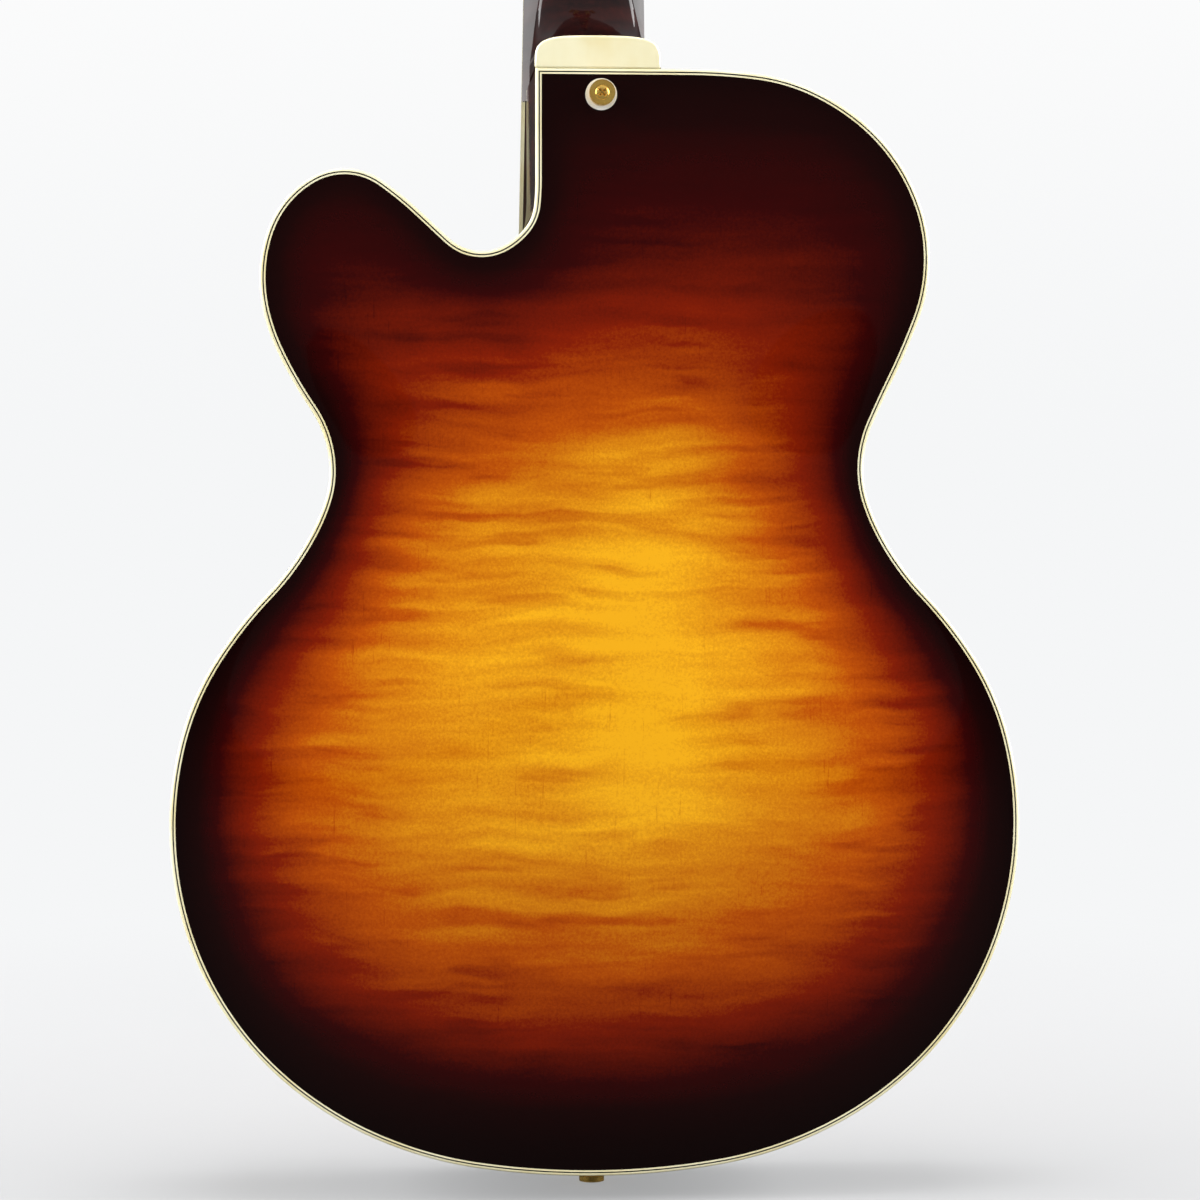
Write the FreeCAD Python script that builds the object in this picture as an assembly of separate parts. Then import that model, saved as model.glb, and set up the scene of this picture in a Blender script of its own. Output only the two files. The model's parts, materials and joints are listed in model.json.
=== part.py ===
import FreeCAD, Part
import math
import os

# Archtop guitar, in millimetres. +Z runs up the neck, -Y out of the front and +X to the treble side.
# It is drawn with the tail of the body at z = 0 and moved up at the end to the frame's own origin.

V = FreeCAD.Vector
OVERRUN = 5.0

# Body
lower_bout = 371.0
body_length = 482.0
rim_depth = 77.0
rim_thickness = 3.4
plate_thickness = 4.5
land_step = 0.8
binding_thickness = 2.6
lining_thickness = 6.0
lining_height = 14.0
back_arch = 22.0
top_arch = 21.0
arch_reach = 90.0
arch_grid = 30.0
seat_gap = 0.3

# Outline of the body, as shares of half the lower bout (across) and of the body's length (up)
lower_outline_shares = (
    (0.544, 0.040), (0.855, 0.140), (1.000, 0.314), (0.890, 0.471), (0.664, 0.587), (0.626, 0.640),
)
bass_shoulder_shares = ((0.694, 0.720), (0.782, 0.832), (0.704, 0.921), (0.524, 0.979))
treble_horn_shares = (
    (0.747, 0.746), (0.787, 0.816), (0.714, 0.887), (0.604, 0.909), (0.416, 0.872), (0.264, 0.836),
    (0.172, 0.856),
)
cutaway_side_share = 0.1455
cutaway_floor_share = 0.76
cutaway_side_start_share = 0.900
shoulder_line_share = 0.215
edge_pieces = 400

# Blocks and bars inside the body
neck_block_width = 74.0
neck_block_length = 52.0
tail_block_width = 84.0
tail_block_length = 26.0
dovetail_root_width = 26.0
dovetail_end_width = 34.0
dovetail_length = 22.0
dovetail_depth = 52.0
tone_bar_width = 8.0
tone_bar_height = 13.0
tone_bar_length_share = 0.52
tone_bar_spacing = 78.0
tone_bar_lean_deg = 4.0

# Sound holes
sound_hole_length = 118.0
sound_hole_spacing = 160.0
sound_hole_edge_shares = (
    (-0.135, 0.412), (-0.060, 0.475), (0.020, 0.440), (0.050, 0.330), (0.042, 0.120),
    (0.036, -0.100), (0.020, -0.250), (0.015, -0.350), (0.045, -0.410), (0.100, -0.405),
)
sound_hole_eye_shares = ((-0.140, 0.370, 0.048), (0.140, -0.370, 0.058))

# Neck, in a frame of its own: the origin is the middle of the fretboard's face above the body's end,
# +Z runs to the nut and -Y out of the fretboard's face
scale_length = 628.0
fret_count = 22
joint_fret = 16
neck_tilt_deg = 3.5
board_rise = 20.0
board_thickness = 6.0
board_radius = 305.0
board_nut_width = 44.0
board_joint_width = 57.0
board_end_overhang = 6.0
board_binding = 1.6
fret_width = 2.2
fret_crown_width = 1.0
fret_height = 1.1
fret_end_inset = 0.5
nut_length = 5.0
nut_lip = 0.8
marker_frets = (3, 5, 7, 9, 12, 15, 17, 19)
marker_width = 24.0
marker_thickness = 1.8
marker_length_share = 0.55
shaft_nut_depth = 15.0
shaft_joint_depth = 18.5
tongue_width = 46.0
tongue_thickness = 8.0
tongue_setback = 9.0
heel_width = 55.0
heel_length = 14.0
heel_cap_thickness = 2.5
heel_bury = 3.0
truss_rod_radius = 2.5
truss_rod_depth = 5.5
truss_rod_reach = 18.0
truss_nut_radius = 2.9
truss_nut_length = 8.0
truss_pocket_width = 9.0
truss_pocket_length = 30.0

# Heel: share of its depth from the cap to the shaft, then how many cap lengths and cap widths it has there
heel_section_shares = (
    (0.0, 1.0, 1.0), (0.4, 1.15, 1.0), (0.7, 1.9, 0.97), (0.88, 3.4, 0.88), (1.0, 5.6, 0.7),
)
heel_outline_shares = ((0.5, 0.3), (0.4, 0.8), (0.0, 1.0))

# Headstock, in a frame tilted back at the nut, with -Y out of its face
head_tilt_deg = 13.0
head_length = 165.0
head_width = 78.0
head_thickness = 14.0
veneer_thickness = 2.0
head_outline_shares = ((0.85, 0.13), (0.92, 0.50), (1.0, 0.86), (0.84, 0.96), (0.0, 1.0))
cover_width = 22.0
cover_tip_width = 9.0
cover_length = 42.0
cover_thickness = 1.6

# Tuners: closed gear housings behind the headstock
post_radius = 3.0
post_first = 38.0
post_spacing = 40.0
post_from_middle = 23.0
post_rise = 13.0
housing_width = 15.0
housing_length = 23.0
housing_height = 10.0
housing_bevel = 1.5
housing_floor = 2.0
worm_offset = 6.5
button_shaft_radius = 2.0
button_gap = 2.5
button_length = 16.0
button_thickness = 6.5
button_width = 18.0
button_step_shares = ((0.0, 0.45), (0.28, 0.45), (0.28, 0.75), (0.55, 0.75), (0.55, 1.0), (1.0, 0.8))
running_gap = 0.05

# Strings, from the treble side to the bass side
string_radii = (0.15, 0.20, 0.26, 0.40, 0.53, 0.66)
plain_string_count = 3
nut_string_span = 36.0
bridge_string_span = 52.0
nut_string_height = 1.5
bridge_action = 3.2
string_gap = 0.1
string_sides = 6
string_bend_radius = 12.0
string_wrap_deg = 200.0

# Bridge
base_length = 128.0
base_width = 13.0
base_height = 7.0
base_end_height = 3.5
base_flat_length = 92.0
base_relief_length = 46.0
base_relief_height = 2.5
bridge_post_spacing = 74.0
bridge_post_radius = 2.0
bridge_post_bury = 5.0
bridge_post_rise = 12.0
bridge_post_room = 2.5
wheel_radius = 8.0
wheel_thickness = 3.0
wheel_lift = 2.6
saddle_length = 116.0
saddle_width = 9.0
saddle_crest_width = 0.8
saddle_end_height = 7.0

# Tailpiece: a trapeze on a hinge at the tail
tail_bar_share = 0.515
tail_bar_y = -69.0
tail_bar_radius = 4.5
tail_bar_length = 88.0
trapeze_spread = 70.0
trapeze_rod_radius = 2.4
hinge_width = 30.0
hinge_rise = 5.0
hinge_pin_radius = 1.6
hinge_knuckle_radius = 3.4
hinge_knuckle_length = 9.0
bracket_thickness = 1.6
bracket_length = 62.0
hinge_gap = 0.3

# Pickguard, floating above the top
guard_y = -66.0
guard_thickness = 2.6
guard_pickup_gap = 1.5
guard_pickup_reach = 9.0
guard_bridge_gap = 19.0
guard_width = 48.0
guard_corner = 9.0
guard_shares = ((0.0, 1.0), (0.49, 0.93), (0.96, 0.64), (1.0, 0.28), (0.80, 0.03), (0.49, 0.0), (0.0, 0.45))
guard_post_shares = ((0.28, 0.85), (0.80, 0.50))
guard_post_radius = 3.0

# Pickup at the neck
pickup_board_gap = 7.0
pickup_width = 70.0
pickup_length = 38.0
pickup_corner = 4.0
pickup_depth = 27.0
pickup_string_gap = 3.0
pickup_gap = 0.3
ring_width = 90.0
ring_length = 45.0
ring_corner = 6.0
ring_height = 5.0

# Controls on the lower treble side
volume_place_share = (0.604, 0.290)
tone_place_share = (0.701, 0.203)
knob_radius = 10.5
knob_height = 15.0
knob_gap = 1.2
knob_wall = 3.0
knob_recess_radius = 7.5
knob_recess_depth = 4.5
shaft_radius = 3.0
pot_radius = 12.0
pot_height = 9.0
pot_wall = 1.5
pot_bush_radius = 3.9
pot_bush_rise = 3.0
pot_nut_radius = 6.0
pot_nut_height = 2.0
jack_place_share = (0.79, 0.11)
jack_bore_radius = 3.25
jack_barrel_radius = 5.6
jack_flange_radius = 9.5
jack_flange_thickness = 2.0
jack_length = 26.0
jack_nut_radius = 8.5
jack_nut_thickness = 2.5

# Strap buttons at the tail and on the back
strap_button_x = -1.3
strap_button_setback = 11.5
strap_head_radius = 5.6
strap_waist_radius = 3.3
strap_foot_radius = 5.2
strap_height = 7.4
strap_head_height = 2.4
strap_foot_height = 1.6
strap_screw_radius = 2.0
strap_screw_length = 28.0
strap_screw_head_radius = 3.25
strap_screw_head_rise = 1.0
strap_washer_radius = 6.85
strap_washer_thickness = 1.4

half_bout = lower_bout / 2
half_depth = rim_depth / 2
edge = half_depth + plate_thickness
cutaway_x = cutaway_side_share * half_bout
volume_x = volume_place_share[0] * half_bout
volume_z = volume_place_share[1] * body_length
tone_x = tone_place_share[0] * half_bout
tone_z = tone_place_share[1] * body_length
strap_button_z = body_length - strap_button_setback
button_middle = bracket_thickness + strap_washer_thickness + strap_height - strap_head_height / 2


def box(x_low, x_high, y_low, y_high, z_low, z_high):
    return Part.makeBox(x_high - x_low, y_high - y_low, z_high - z_low, V(x_low, y_low, z_low))


def rod(radius, start, end):
    return Part.makeCylinder(radius, (end - start).Length, start, end - start)


def prism(points, direction):
    return Part.Face(Part.makePolygon(points + [points[0]])).extrude(direction)


def smooth(points):
    curve = Part.BSplineCurve()
    curve.interpolate(points)
    return curve.toShape()


def left_of(along):
    return V(-along.z, 0, along.x)


def unit(vector):
    return vector / vector.Length


def spline_tangents(points):
    curve = Part.BSplineCurve()
    curve.interpolate(points)
    return [unit(curve.tangent(curve.parameter(point))[0]) for point in points]


def biarc_joint(start, start_along, end, end_along):
    # Where two arcs that leave start and reach end in the given directions meet, and their direction there
    chord = end - start
    both = start_along + end_along
    turn = 2 * (1 - start_along.dot(end_along))
    if turn < 1e-9:
        reach = chord.Length / 2
    else:
        ahead = chord.dot(both)
        reach = (math.sqrt(ahead ** 2 + turn * chord.dot(chord)) - ahead) / turn
    joint = (start + start_along * reach + end - end_along * reach) / 2
    return joint, unit(end - end_along * reach - start - start_along * reach)


def arc_chain(points, first_along, last_along, held=()):
    # Nodes (point, direction) of a smooth chain of arcs through the points, in the XZ plane
    alongs = [first_along] + spline_tangents(points)[1:-1] + [last_along]
    for at, along in held:
        alongs[at] = along
    nodes = [(points[0], first_along)]
    for at in range(len(points) - 1):
        nodes.append(biarc_joint(points[at], alongs[at], points[at + 1], alongs[at + 1]))
        nodes.append((points[at + 1], alongs[at + 1]))
    return nodes


def chain_edges(nodes):
    edges = []
    for (start, along), (end, _) in zip(nodes, nodes[1:]):
        chord = end - start
        ahead = unit(chord)
        swing = math.atan2(left_of(ahead).dot(along), ahead.dot(along))
        middle = (start + end) / 2 + left_of(ahead) * (chord.Length / 2 * math.tan(swing / 2))
        edges.append(Part.Arc(start, middle, end).toShape())
    return edges


def outline_nodes():
    def place(share, side):
        return V(side * share[0] * half_bout, 0, share[1] * body_length)

    points = [V(-shoulder_line_share * half_bout, 0, body_length)]
    points += [place(share, -1) for share in reversed(bass_shoulder_shares)]
    points += [place(share, -1) for share in reversed(lower_outline_shares)]
    tail = len(points)
    points += [V(0, 0, 0)]
    points += [place(share, 1) for share in lower_outline_shares]
    points += [place(share, 1) for share in treble_horn_shares]
    points += [V(cutaway_x, 0, cutaway_side_start_share * body_length)]
    return arc_chain(points, V(-1, 0, 0), V(0, 0, 1), [(tail, V(1, 0, 0))])


OUTLINE = outline_nodes()


def body_wire(inset, y):
    nodes = [(point + left_of(along) * inset + V(0, y, 0), along) for point, along in OUTLINE]
    corner = V(cutaway_x - inset, y, body_length - inset)
    edges = chain_edges(nodes)
    edges += [Part.makeLine(nodes[-1][0], corner), Part.makeLine(corner, nodes[0][0])]
    return Part.Wire(edges)


def body_prism(inset, y_low, y_high):
    return Part.Face(body_wire(inset, y_low)).extrude(V(0, y_high - y_low, 0))


def body_ring(outer_inset, inner_inset, y_low, y_high):
    wires = [body_wire(outer_inset, y_low), body_wire(inner_inset, y_low)]
    ring = Part.makeFace(wires, "Part::FaceMakerBullseye")
    return ring.extrude(V(0, y_high - y_low, 0))


def edge_lengths():
    # Middle and length of each short piece of the outline
    pieces = []
    points = body_wire(0, 0).discretize(edge_pieces + 1)
    for start, end in zip(points, points[1:]):
        pieces.append(((start + end) / 2, (end - start).Length))
    return pieces


EDGE = edge_lengths()


def arch(x, z, crown):
    # Rises from a flat edge. 2 / total is the square of the distance to the edge, beside a straight one.
    total = 0
    for middle, length in EDGE:
        total += length / ((middle.x - x) ** 2 + (middle.z - z) ** 2) ** 1.5
    return crown * (1 - math.exp(-2 / total / arch_reach ** 2))


def top_y(x, z):
    return -edge - arch(x, z, top_arch)


def arch_points():
    columns = int(lower_bout / arch_grid) + 2
    rows = int(body_length / arch_grid) + 2
    grid = []
    for column in range(columns + 1):
        x = (column / columns - 0.5) * (lower_bout + 2 * OVERRUN)
        heights = [row / rows * (body_length + 2 * OVERRUN) - OVERRUN for row in range(rows + 1)]
        grid.append([(x, z, arch(x, z, 1)) for z in heights])
    return grid


ARCH = arch_points()


def arched_sheet(side, crown, lift):
    grid = [[V(x, side * (edge + lift + crown * share), z) for x, z, share in line] for line in ARCH]
    surface = Part.BSplineSurface()
    surface.interpolate(grid)
    return surface.toShape()


def arched_plate(side, crown):
    # Hollowed from a depth that leaves a flat land where the plate is glued to the rim and linings
    reach = side * (edge + crown + OVERRUN)
    outer = arched_sheet(side, crown, 0).extrude(V(0, -reach, 0))
    inner = arched_sheet(side, crown, -plate_thickness - land_step).extrude(V(0, -reach, 0))
    return outer.common(body_prism(binding_thickness, side * half_depth, reach)).cut(inner)


def above_top(lift):
    # Everything in front of the top plate's outer face, raised by lift
    depth = 4 * edge
    return arched_sheet(-1, top_arch, lift).extrude(V(0, -depth, 0))


def sound_hole(side, centre_z):
    def place(share_x, share_z):
        x = side * (sound_hole_spacing / 2 + share_x * sound_hole_length)
        return V(x, 0, centre_z + share_z * sound_hole_length)

    outer = [place(*share) for share in sound_hole_edge_shares]
    inner = [place(-share[0], -share[1]) for share in sound_hole_edge_shares]
    edges = [smooth(outer), Part.makeLine(outer[-1], inner[0])]
    edges += [smooth(inner), Part.makeLine(inner[-1], outer[0])]
    through = V(0, -2 * edge, 0)
    hole = Part.Face(Part.Wire(edges)).extrude(through)
    for share_x, share_z, share_r in sound_hole_eye_shares:
        centre = place(share_x, share_z)
        hole = hole.fuse(rod(share_r * sound_hole_length, centre, centre + through))
    return hole


def dovetail(gap):
    # The neck's tenon: wider at its far end, so that it can't be drawn out along the neck
    root = dovetail_root_width / 2 + gap
    end = dovetail_end_width / 2 + gap
    far = body_length - dovetail_length - gap
    points = [V(-root, 0, body_length), V(-end, 0, far), V(end, 0, far), V(root, 0, body_length)]
    tenon = prism(points, V(0, dovetail_depth + gap, 0))
    tenon.translate(V(0, -half_depth, 0))
    return tenon


def split_rim(rim):
    # Three bent strips that meet at the tail, the neck and the horn's tip
    far = 2 * body_length
    tip_x = treble_horn_shares[3][0] * half_bout
    floor_z = cutaway_floor_share * body_length
    bass_side = box(-far, 0, -edge, edge, -far, far)
    cutaway_side = box(0, tip_x, -edge, edge, floor_z, far)
    treble_side = box(0, far, -edge, edge, -far, far).cut(cutaway_side)
    return {"bass_rim": rim.common(bass_side), "treble_rim": rim.common(treble_side),
            "cutaway_rim": rim.common(cutaway_side)}


def make_body():
    back = arched_plate(1, back_arch)
    top = arched_plate(-1, top_arch)
    for side in (-1, 1):
        top = top.cut(sound_hole(side, bridge_z))
    rim = body_ring(0, rim_thickness, -half_depth, half_depth).cut(dovetail(0))
    rims = split_rim(rim)
    inner = rim_thickness
    full = body_prism(inner, -half_depth, half_depth)
    neck_block = full.common(box(-neck_block_width / 2, neck_block_width / 2, -half_depth, half_depth,
                                 body_length - neck_block_length, body_length))
    neck_block = neck_block.cut(dovetail(0))
    tail_block = full.common(box(-tail_block_width / 2, tail_block_width / 2, -half_depth, half_depth,
                                 0, rim_thickness + tail_block_length))
    linings = []
    for low, high in ((-half_depth, lining_height - half_depth), (half_depth - lining_height, half_depth)):
        ring = body_ring(inner, inner + lining_thickness, low, high)
        linings.append(ring.cut(neck_block).cut(tail_block).cut(dovetail(0)))
    show = {"back_plate": back, "top_plate": top, "neck_block": neck_block, "tail_block": tail_block}
    show.update(rims)
    show["linings"] = Part.makeCompound(linings)
    show["back_binding"] = body_ring(0, binding_thickness, half_depth, edge)
    show["top_binding"] = body_ring(0, binding_thickness, -edge, -half_depth)
    return show


# Places in the neck's and the headstock's frames

def turn_back(shape, degrees):
    shape.rotate(V(0, 0, 0), V(1, 0, 0), -degrees)
    return shape


def fret_z(number):
    # Height in the neck's frame; the nut's is fret_z(0)
    return scale_length * (2 ** (-number / 12) - 2 ** (-joint_fret / 12))


def place_neck(shape):
    shape = turn_back(shape.copy(), neck_tilt_deg)
    shape.translate(V(0, -edge - board_rise, body_length))
    return shape


def place_head(shape):
    shape = turn_back(shape.copy(), head_tilt_deg)
    shape.translate(V(0, board_thickness, fret_z(0) + nut_length))
    return place_neck(shape)


def neck_point(x, y, z):
    return place_neck(Part.Vertex(x, y, z)).Point


def head_point(x, y, z):
    return place_head(Part.Vertex(x, y, z)).Point


def board_half_width(z):
    spread = (board_joint_width - board_nut_width) / fret_z(0)
    return (board_joint_width - spread * z) / 2


def board_block(inset, z_low, z_high, y_low, y_high):
    low = board_half_width(z_low) - inset
    high = board_half_width(z_high) - inset
    points = [V(-low, y_low, z_low), V(low, y_low, z_low), V(high, y_low, z_high), V(-high, y_low, z_high)]
    return prism(points, V(0, y_high - y_low, 0))


def crown_cylinder(radius, z_low, z_high):
    # Centred so that every board face and string height follows the same arch across
    return rod(radius, V(0, board_radius, z_low), V(0, board_radius, z_high))


board_low = fret_z(fret_count) - board_end_overhang
board_high = fret_z(0)
neck_cosine = math.cos(math.radians(neck_tilt_deg))
bridge_z = body_length + (fret_z(0) - scale_length) * neck_cosine
tail_bar_z = tail_bar_share * bridge_z
pickup_z = body_length + board_low * neck_cosine - pickup_board_gap - pickup_length / 2
guard_inner_x = pickup_width / 2 + guard_pickup_gap
guard_lower_z = bridge_z + guard_bridge_gap
guard_length = pickup_z + guard_pickup_reach - guard_lower_z


def make_fretboard():
    crown = crown_cylinder(board_radius, board_low - OVERRUN, board_high + OVERRUN)
    whole = board_block(0, board_low, board_high, 0, board_thickness).common(crown)
    inner = board_block(board_binding, board_low + board_binding, board_high + OVERRUN, -OVERRUN,
                        board_thickness + OVERRUN)
    binding = whole.cut(inner)
    board = whole.common(inner)
    markers = []
    for number in marker_frets:
        space = fret_z(number - 1) - fret_z(number)
        middle = (fret_z(number - 1) + fret_z(number)) / 2
        half = marker_length_share * space / 2
        block = box(-marker_width / 2, marker_width / 2, 0, marker_thickness, middle - half, middle + half)
        markers.append(block.common(crown))
    board = board.cut(Part.makeCompound(markers))
    frets = []
    for number in range(1, fret_count + 1):
        z = fret_z(number)
        profile = [V(0, 0, z - fret_width / 2), V(0, -fret_height, z - fret_crown_width / 2),
                   V(0, -fret_height, z + fret_crown_width / 2), V(0, 0, z + fret_width / 2)]
        swing = math.degrees((board_half_width(z) - fret_end_inset) / board_radius)
        face = Part.Face(Part.makePolygon(profile + [profile[0]]))
        face.rotate(V(0, board_radius, 0), V(0, 0, 1), -swing)
        frets.append(face.revolve(V(0, board_radius, 0), V(0, 0, 1), 2 * swing))
    return {"fretboard": place_neck(board), "fretboard_binding": place_neck(binding),
            "position_markers": place_neck(Part.makeCompound(markers)),
            "frets": place_neck(Part.makeCompound(frets))}


def string_x(number, span):
    return span * (0.5 - number / (len(string_radii) - 1))


def crown_drop(x):
    return board_radius - math.sqrt(board_radius ** 2 - x ** 2)


def make_nut():
    top = nut_string_height + nut_lip
    nut = board_block(0, fret_z(0), fret_z(0) + nut_length, -top, board_thickness)
    nut = nut.common(crown_cylinder(board_radius + top, fret_z(0) - OVERRUN, fret_z(0) + 2 * nut_length))
    for number, radius in enumerate(string_radii):
        x = string_x(number, nut_string_span)
        floor = crown_drop(x) - nut_string_height + radius + string_gap
        reach = radius + string_gap
        nut = nut.cut(box(x - reach, x + reach, -2 * top, floor, fret_z(0) - OVERRUN,
                          fret_z(0) + 2 * nut_length))
    return place_neck(nut)


def shaft_circle(z, depth):
    # Radius and centre of the round back that is depth thick behind the board's edges
    half = board_half_width(z)
    radius = (half ** 2 + depth ** 2) / (2 * depth)
    return radius, V(0, board_thickness + depth - radius, z)


def make_shaft():
    # The back is a cone, cut to the board's width and flat under the board
    low_z = -heel_bury
    high_z = fret_z(0) + nut_length
    low_radius, low = shaft_circle(low_z, shaft_joint_depth)
    high_radius, high = shaft_circle(high_z, shaft_nut_depth)
    cone = Part.makeCone(low_radius, high_radius, (high - low).Length, low, high - low)
    back = board_thickness + 2 * shaft_joint_depth
    return cone.common(board_block(0, low_z, high_z, board_thickness, back))


def heel_section(y, length, width):
    right = [V(x * width, y, body_length + z * length) for x, z in heel_outline_shares]
    left = [V(-p.x, y, p.z) for p in reversed(right[:-1])]
    edges = chain_edges(arc_chain(right + left, V(0, 0, 1), V(0, 0, -1)))
    low_right = V(width / 2, y, body_length)
    low_left = V(-width / 2, y, body_length)
    edges += [Part.makeLine(left[-1], low_left), Part.makeLine(low_left, low_right)]
    edges += [Part.makeLine(low_right, right[0])]
    return Part.Wire(edges)


def head_face(y):
    half = head_width / 2
    right = [V(board_nut_width / 2, y, 0)]
    right += [V(x * half, y, z * head_length) for x, z in head_outline_shares]
    left = [V(-p.x, y, p.z) for p in reversed(right[:-1])]
    flare = unit(right[1] - right[0])
    edges = chain_edges(arc_chain(right + left, flare, V(flare.x, 0, -flare.z)))
    edges.append(Part.makeLine(left[-1], right[0]))
    return Part.Face(Part.Wire(edges))


def tuner_places():
    # Side, x and z of each post in the headstock's frame, in the strings' order from treble to bass
    rows = [post_first + post_spacing * row for row in range(len(string_radii) // 2)]
    treble = [(1, post_from_middle, z) for z in rows]
    bass = [(-1, -post_from_middle, z) for z in reversed(rows)]
    return treble + bass


def truss_rod_line():
    y = board_thickness + truss_rod_depth
    return V(0, y, heel_bury), V(0, y, fret_z(0) + nut_length + truss_rod_reach)


def truss_pocket():
    low = -veneer_thickness - OVERRUN
    return box(-truss_pocket_width / 2, truss_pocket_width / 2, low, truss_rod_depth + truss_nut_radius,
               nut_length, truss_pocket_length)


def make_neck():
    tongue = box(-tongue_width / 2, tongue_width / 2, board_thickness, board_thickness + tongue_thickness,
                 board_low + tongue_setback, heel_bury)
    neck = place_neck(make_shaft().fuse(tongue))
    cap_y = edge - heel_cap_thickness
    shaft_y = -edge - board_rise + board_thickness + shaft_joint_depth / 2 + heel_bury
    sections = []
    for share, lengths, widths in heel_section_shares:
        y = cap_y + share * (shaft_y - cap_y)
        sections.append(heel_section(y, lengths * heel_length, widths * heel_width))
    heel = Part.makeLoft(sections, True, False)
    neck = neck.fuse(heel)
    neck = neck.cut(box(-half_bout, half_bout, -edge, edge, 0, body_length))
    head = head_face(0).extrude(V(0, head_thickness, 0))
    neck = neck.fuse(place_head(head)).fuse(dovetail(0))
    start, end = truss_rod_line()
    neck = neck.cut(place_neck(rod(truss_rod_radius, start, end)))
    neck = neck.cut(place_head(truss_pocket()))
    cap = Part.Face(heel_section(cap_y, heel_length, heel_width)).extrude(V(0, heel_cap_thickness, 0))
    veneer = head_face(-veneer_thickness).extrude(V(0, veneer_thickness, 0))
    veneer = veneer.cut(truss_pocket())
    holes = []
    for _, x, z in tuner_places():
        holes.append(rod(post_radius + running_gap, V(x, -post_rise, z), V(x, 2 * head_thickness, z)))
    holes = Part.makeCompound(holes)
    veneer = veneer.cut(holes)
    neck = neck.cut(place_head(holes)).removeSplitter()
    return {"neck": neck, "heel_cap": cap, "headstock_veneer": place_head(veneer)}


def make_truss_rod():
    start, end = truss_rod_line()
    bar = rod(truss_rod_radius, start, end)
    nut = rod(truss_nut_radius, end - V(0, 0, truss_nut_length), end)
    low = -veneer_thickness - cover_thickness
    low_z = nut_length / 2
    high_z = low_z + cover_length
    points = [V(-cover_width / 2, low, low_z), V(cover_width / 2, low, low_z),
              V(cover_tip_width / 2, low, high_z), V(-cover_tip_width / 2, low, high_z)]
    cover = prism(points, V(0, cover_thickness, 0))
    return {"truss_rod": place_neck(bar.fuse(nut)), "truss_rod_cover": place_head(cover)}


def make_tuners():
    show = {}
    housings = []
    back = head_thickness
    worm_y = back + housing_height / 2
    for number, (side, x, z) in enumerate(tuner_places(), 1):
        low_z = z - housing_length / 2 + worm_offset / 2
        shell = box(x - housing_width / 2, x + housing_width / 2, back, back + housing_height,
                    low_z, low_z + housing_length)
        outer = [e for e in shell.Edges if e.CenterOfMass.y > back + running_gap]
        shell = shell.makeChamfer(housing_bevel, outer)
        floor = back + housing_height - housing_floor
        post_hole = rod(post_radius + running_gap, V(x, back - OVERRUN, z), V(x, floor, z))
        worm_z = z + worm_offset
        inner_x = x - side * (housing_width / 2 - housing_floor)
        reach = side * (head_width / 2 + button_gap)
        shaft_hole = rod(button_shaft_radius + running_gap, V(inner_x, worm_y, worm_z),
                         V(reach, worm_y, worm_z))
        housings.append(shell.cut(post_hole).cut(shaft_hole))
        top = -veneer_thickness - post_rise
        post = rod(post_radius, V(x, top, z), V(x, floor - running_gap, z))
        show["tuner_post_%d" % number] = place_head(post)
        shaft = rod(button_shaft_radius, V(inner_x + side * running_gap, worm_y, worm_z),
                    V(reach + side * button_gap, worm_y, worm_z))
        profile = []
        for along, across in button_step_shares:
            profile.append(V(reach + side * along * button_length, worm_y - button_thickness / 2,
                             worm_z + across * button_width / 2))
        profile += [V(p.x, p.y, 2 * worm_z - p.z) for p in reversed(profile)]
        knob = prism(profile, V(0, button_thickness, 0))
        show["tuner_button_%d" % number] = place_head(shaft.fuse(knob))
    show["tuner_housings"] = place_head(Part.makeCompound(housings))
    return show


# Strings and what carries them

saddle_y = neck_point(0, -bridge_action, fret_z(0) - scale_length).y


def rounded_path(points, radius):
    edges = []
    last = points[0]
    for before, corner, after in zip(points, points[1:], points[2:]):
        into = unit(corner - before)
        out = unit(after - corner)
        half_turn = into.getAngle(out) / 2
        reach = radius * math.tan(half_turn)
        start = corner - into * reach
        end = corner + out * reach
        middle = corner + unit(out - into) * (radius / math.cos(half_turn) - radius)
        edges += [Part.makeLine(last, start), Part.Arc(start, middle, end).toShape()]
        last = end
    return edges + [Part.makeLine(last, points[-1])]


def tube(edges, radius, sides):
    start = edges[0].firstVertex().Point
    ahead = edges[0].lastVertex().Point - start
    corners = Part.Wire(Part.makeCircle(radius, start, ahead)).discretize(sides + 1)
    return Part.Wire(edges).makePipeShell([Part.makePolygon(corners)], True, False)


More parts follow.
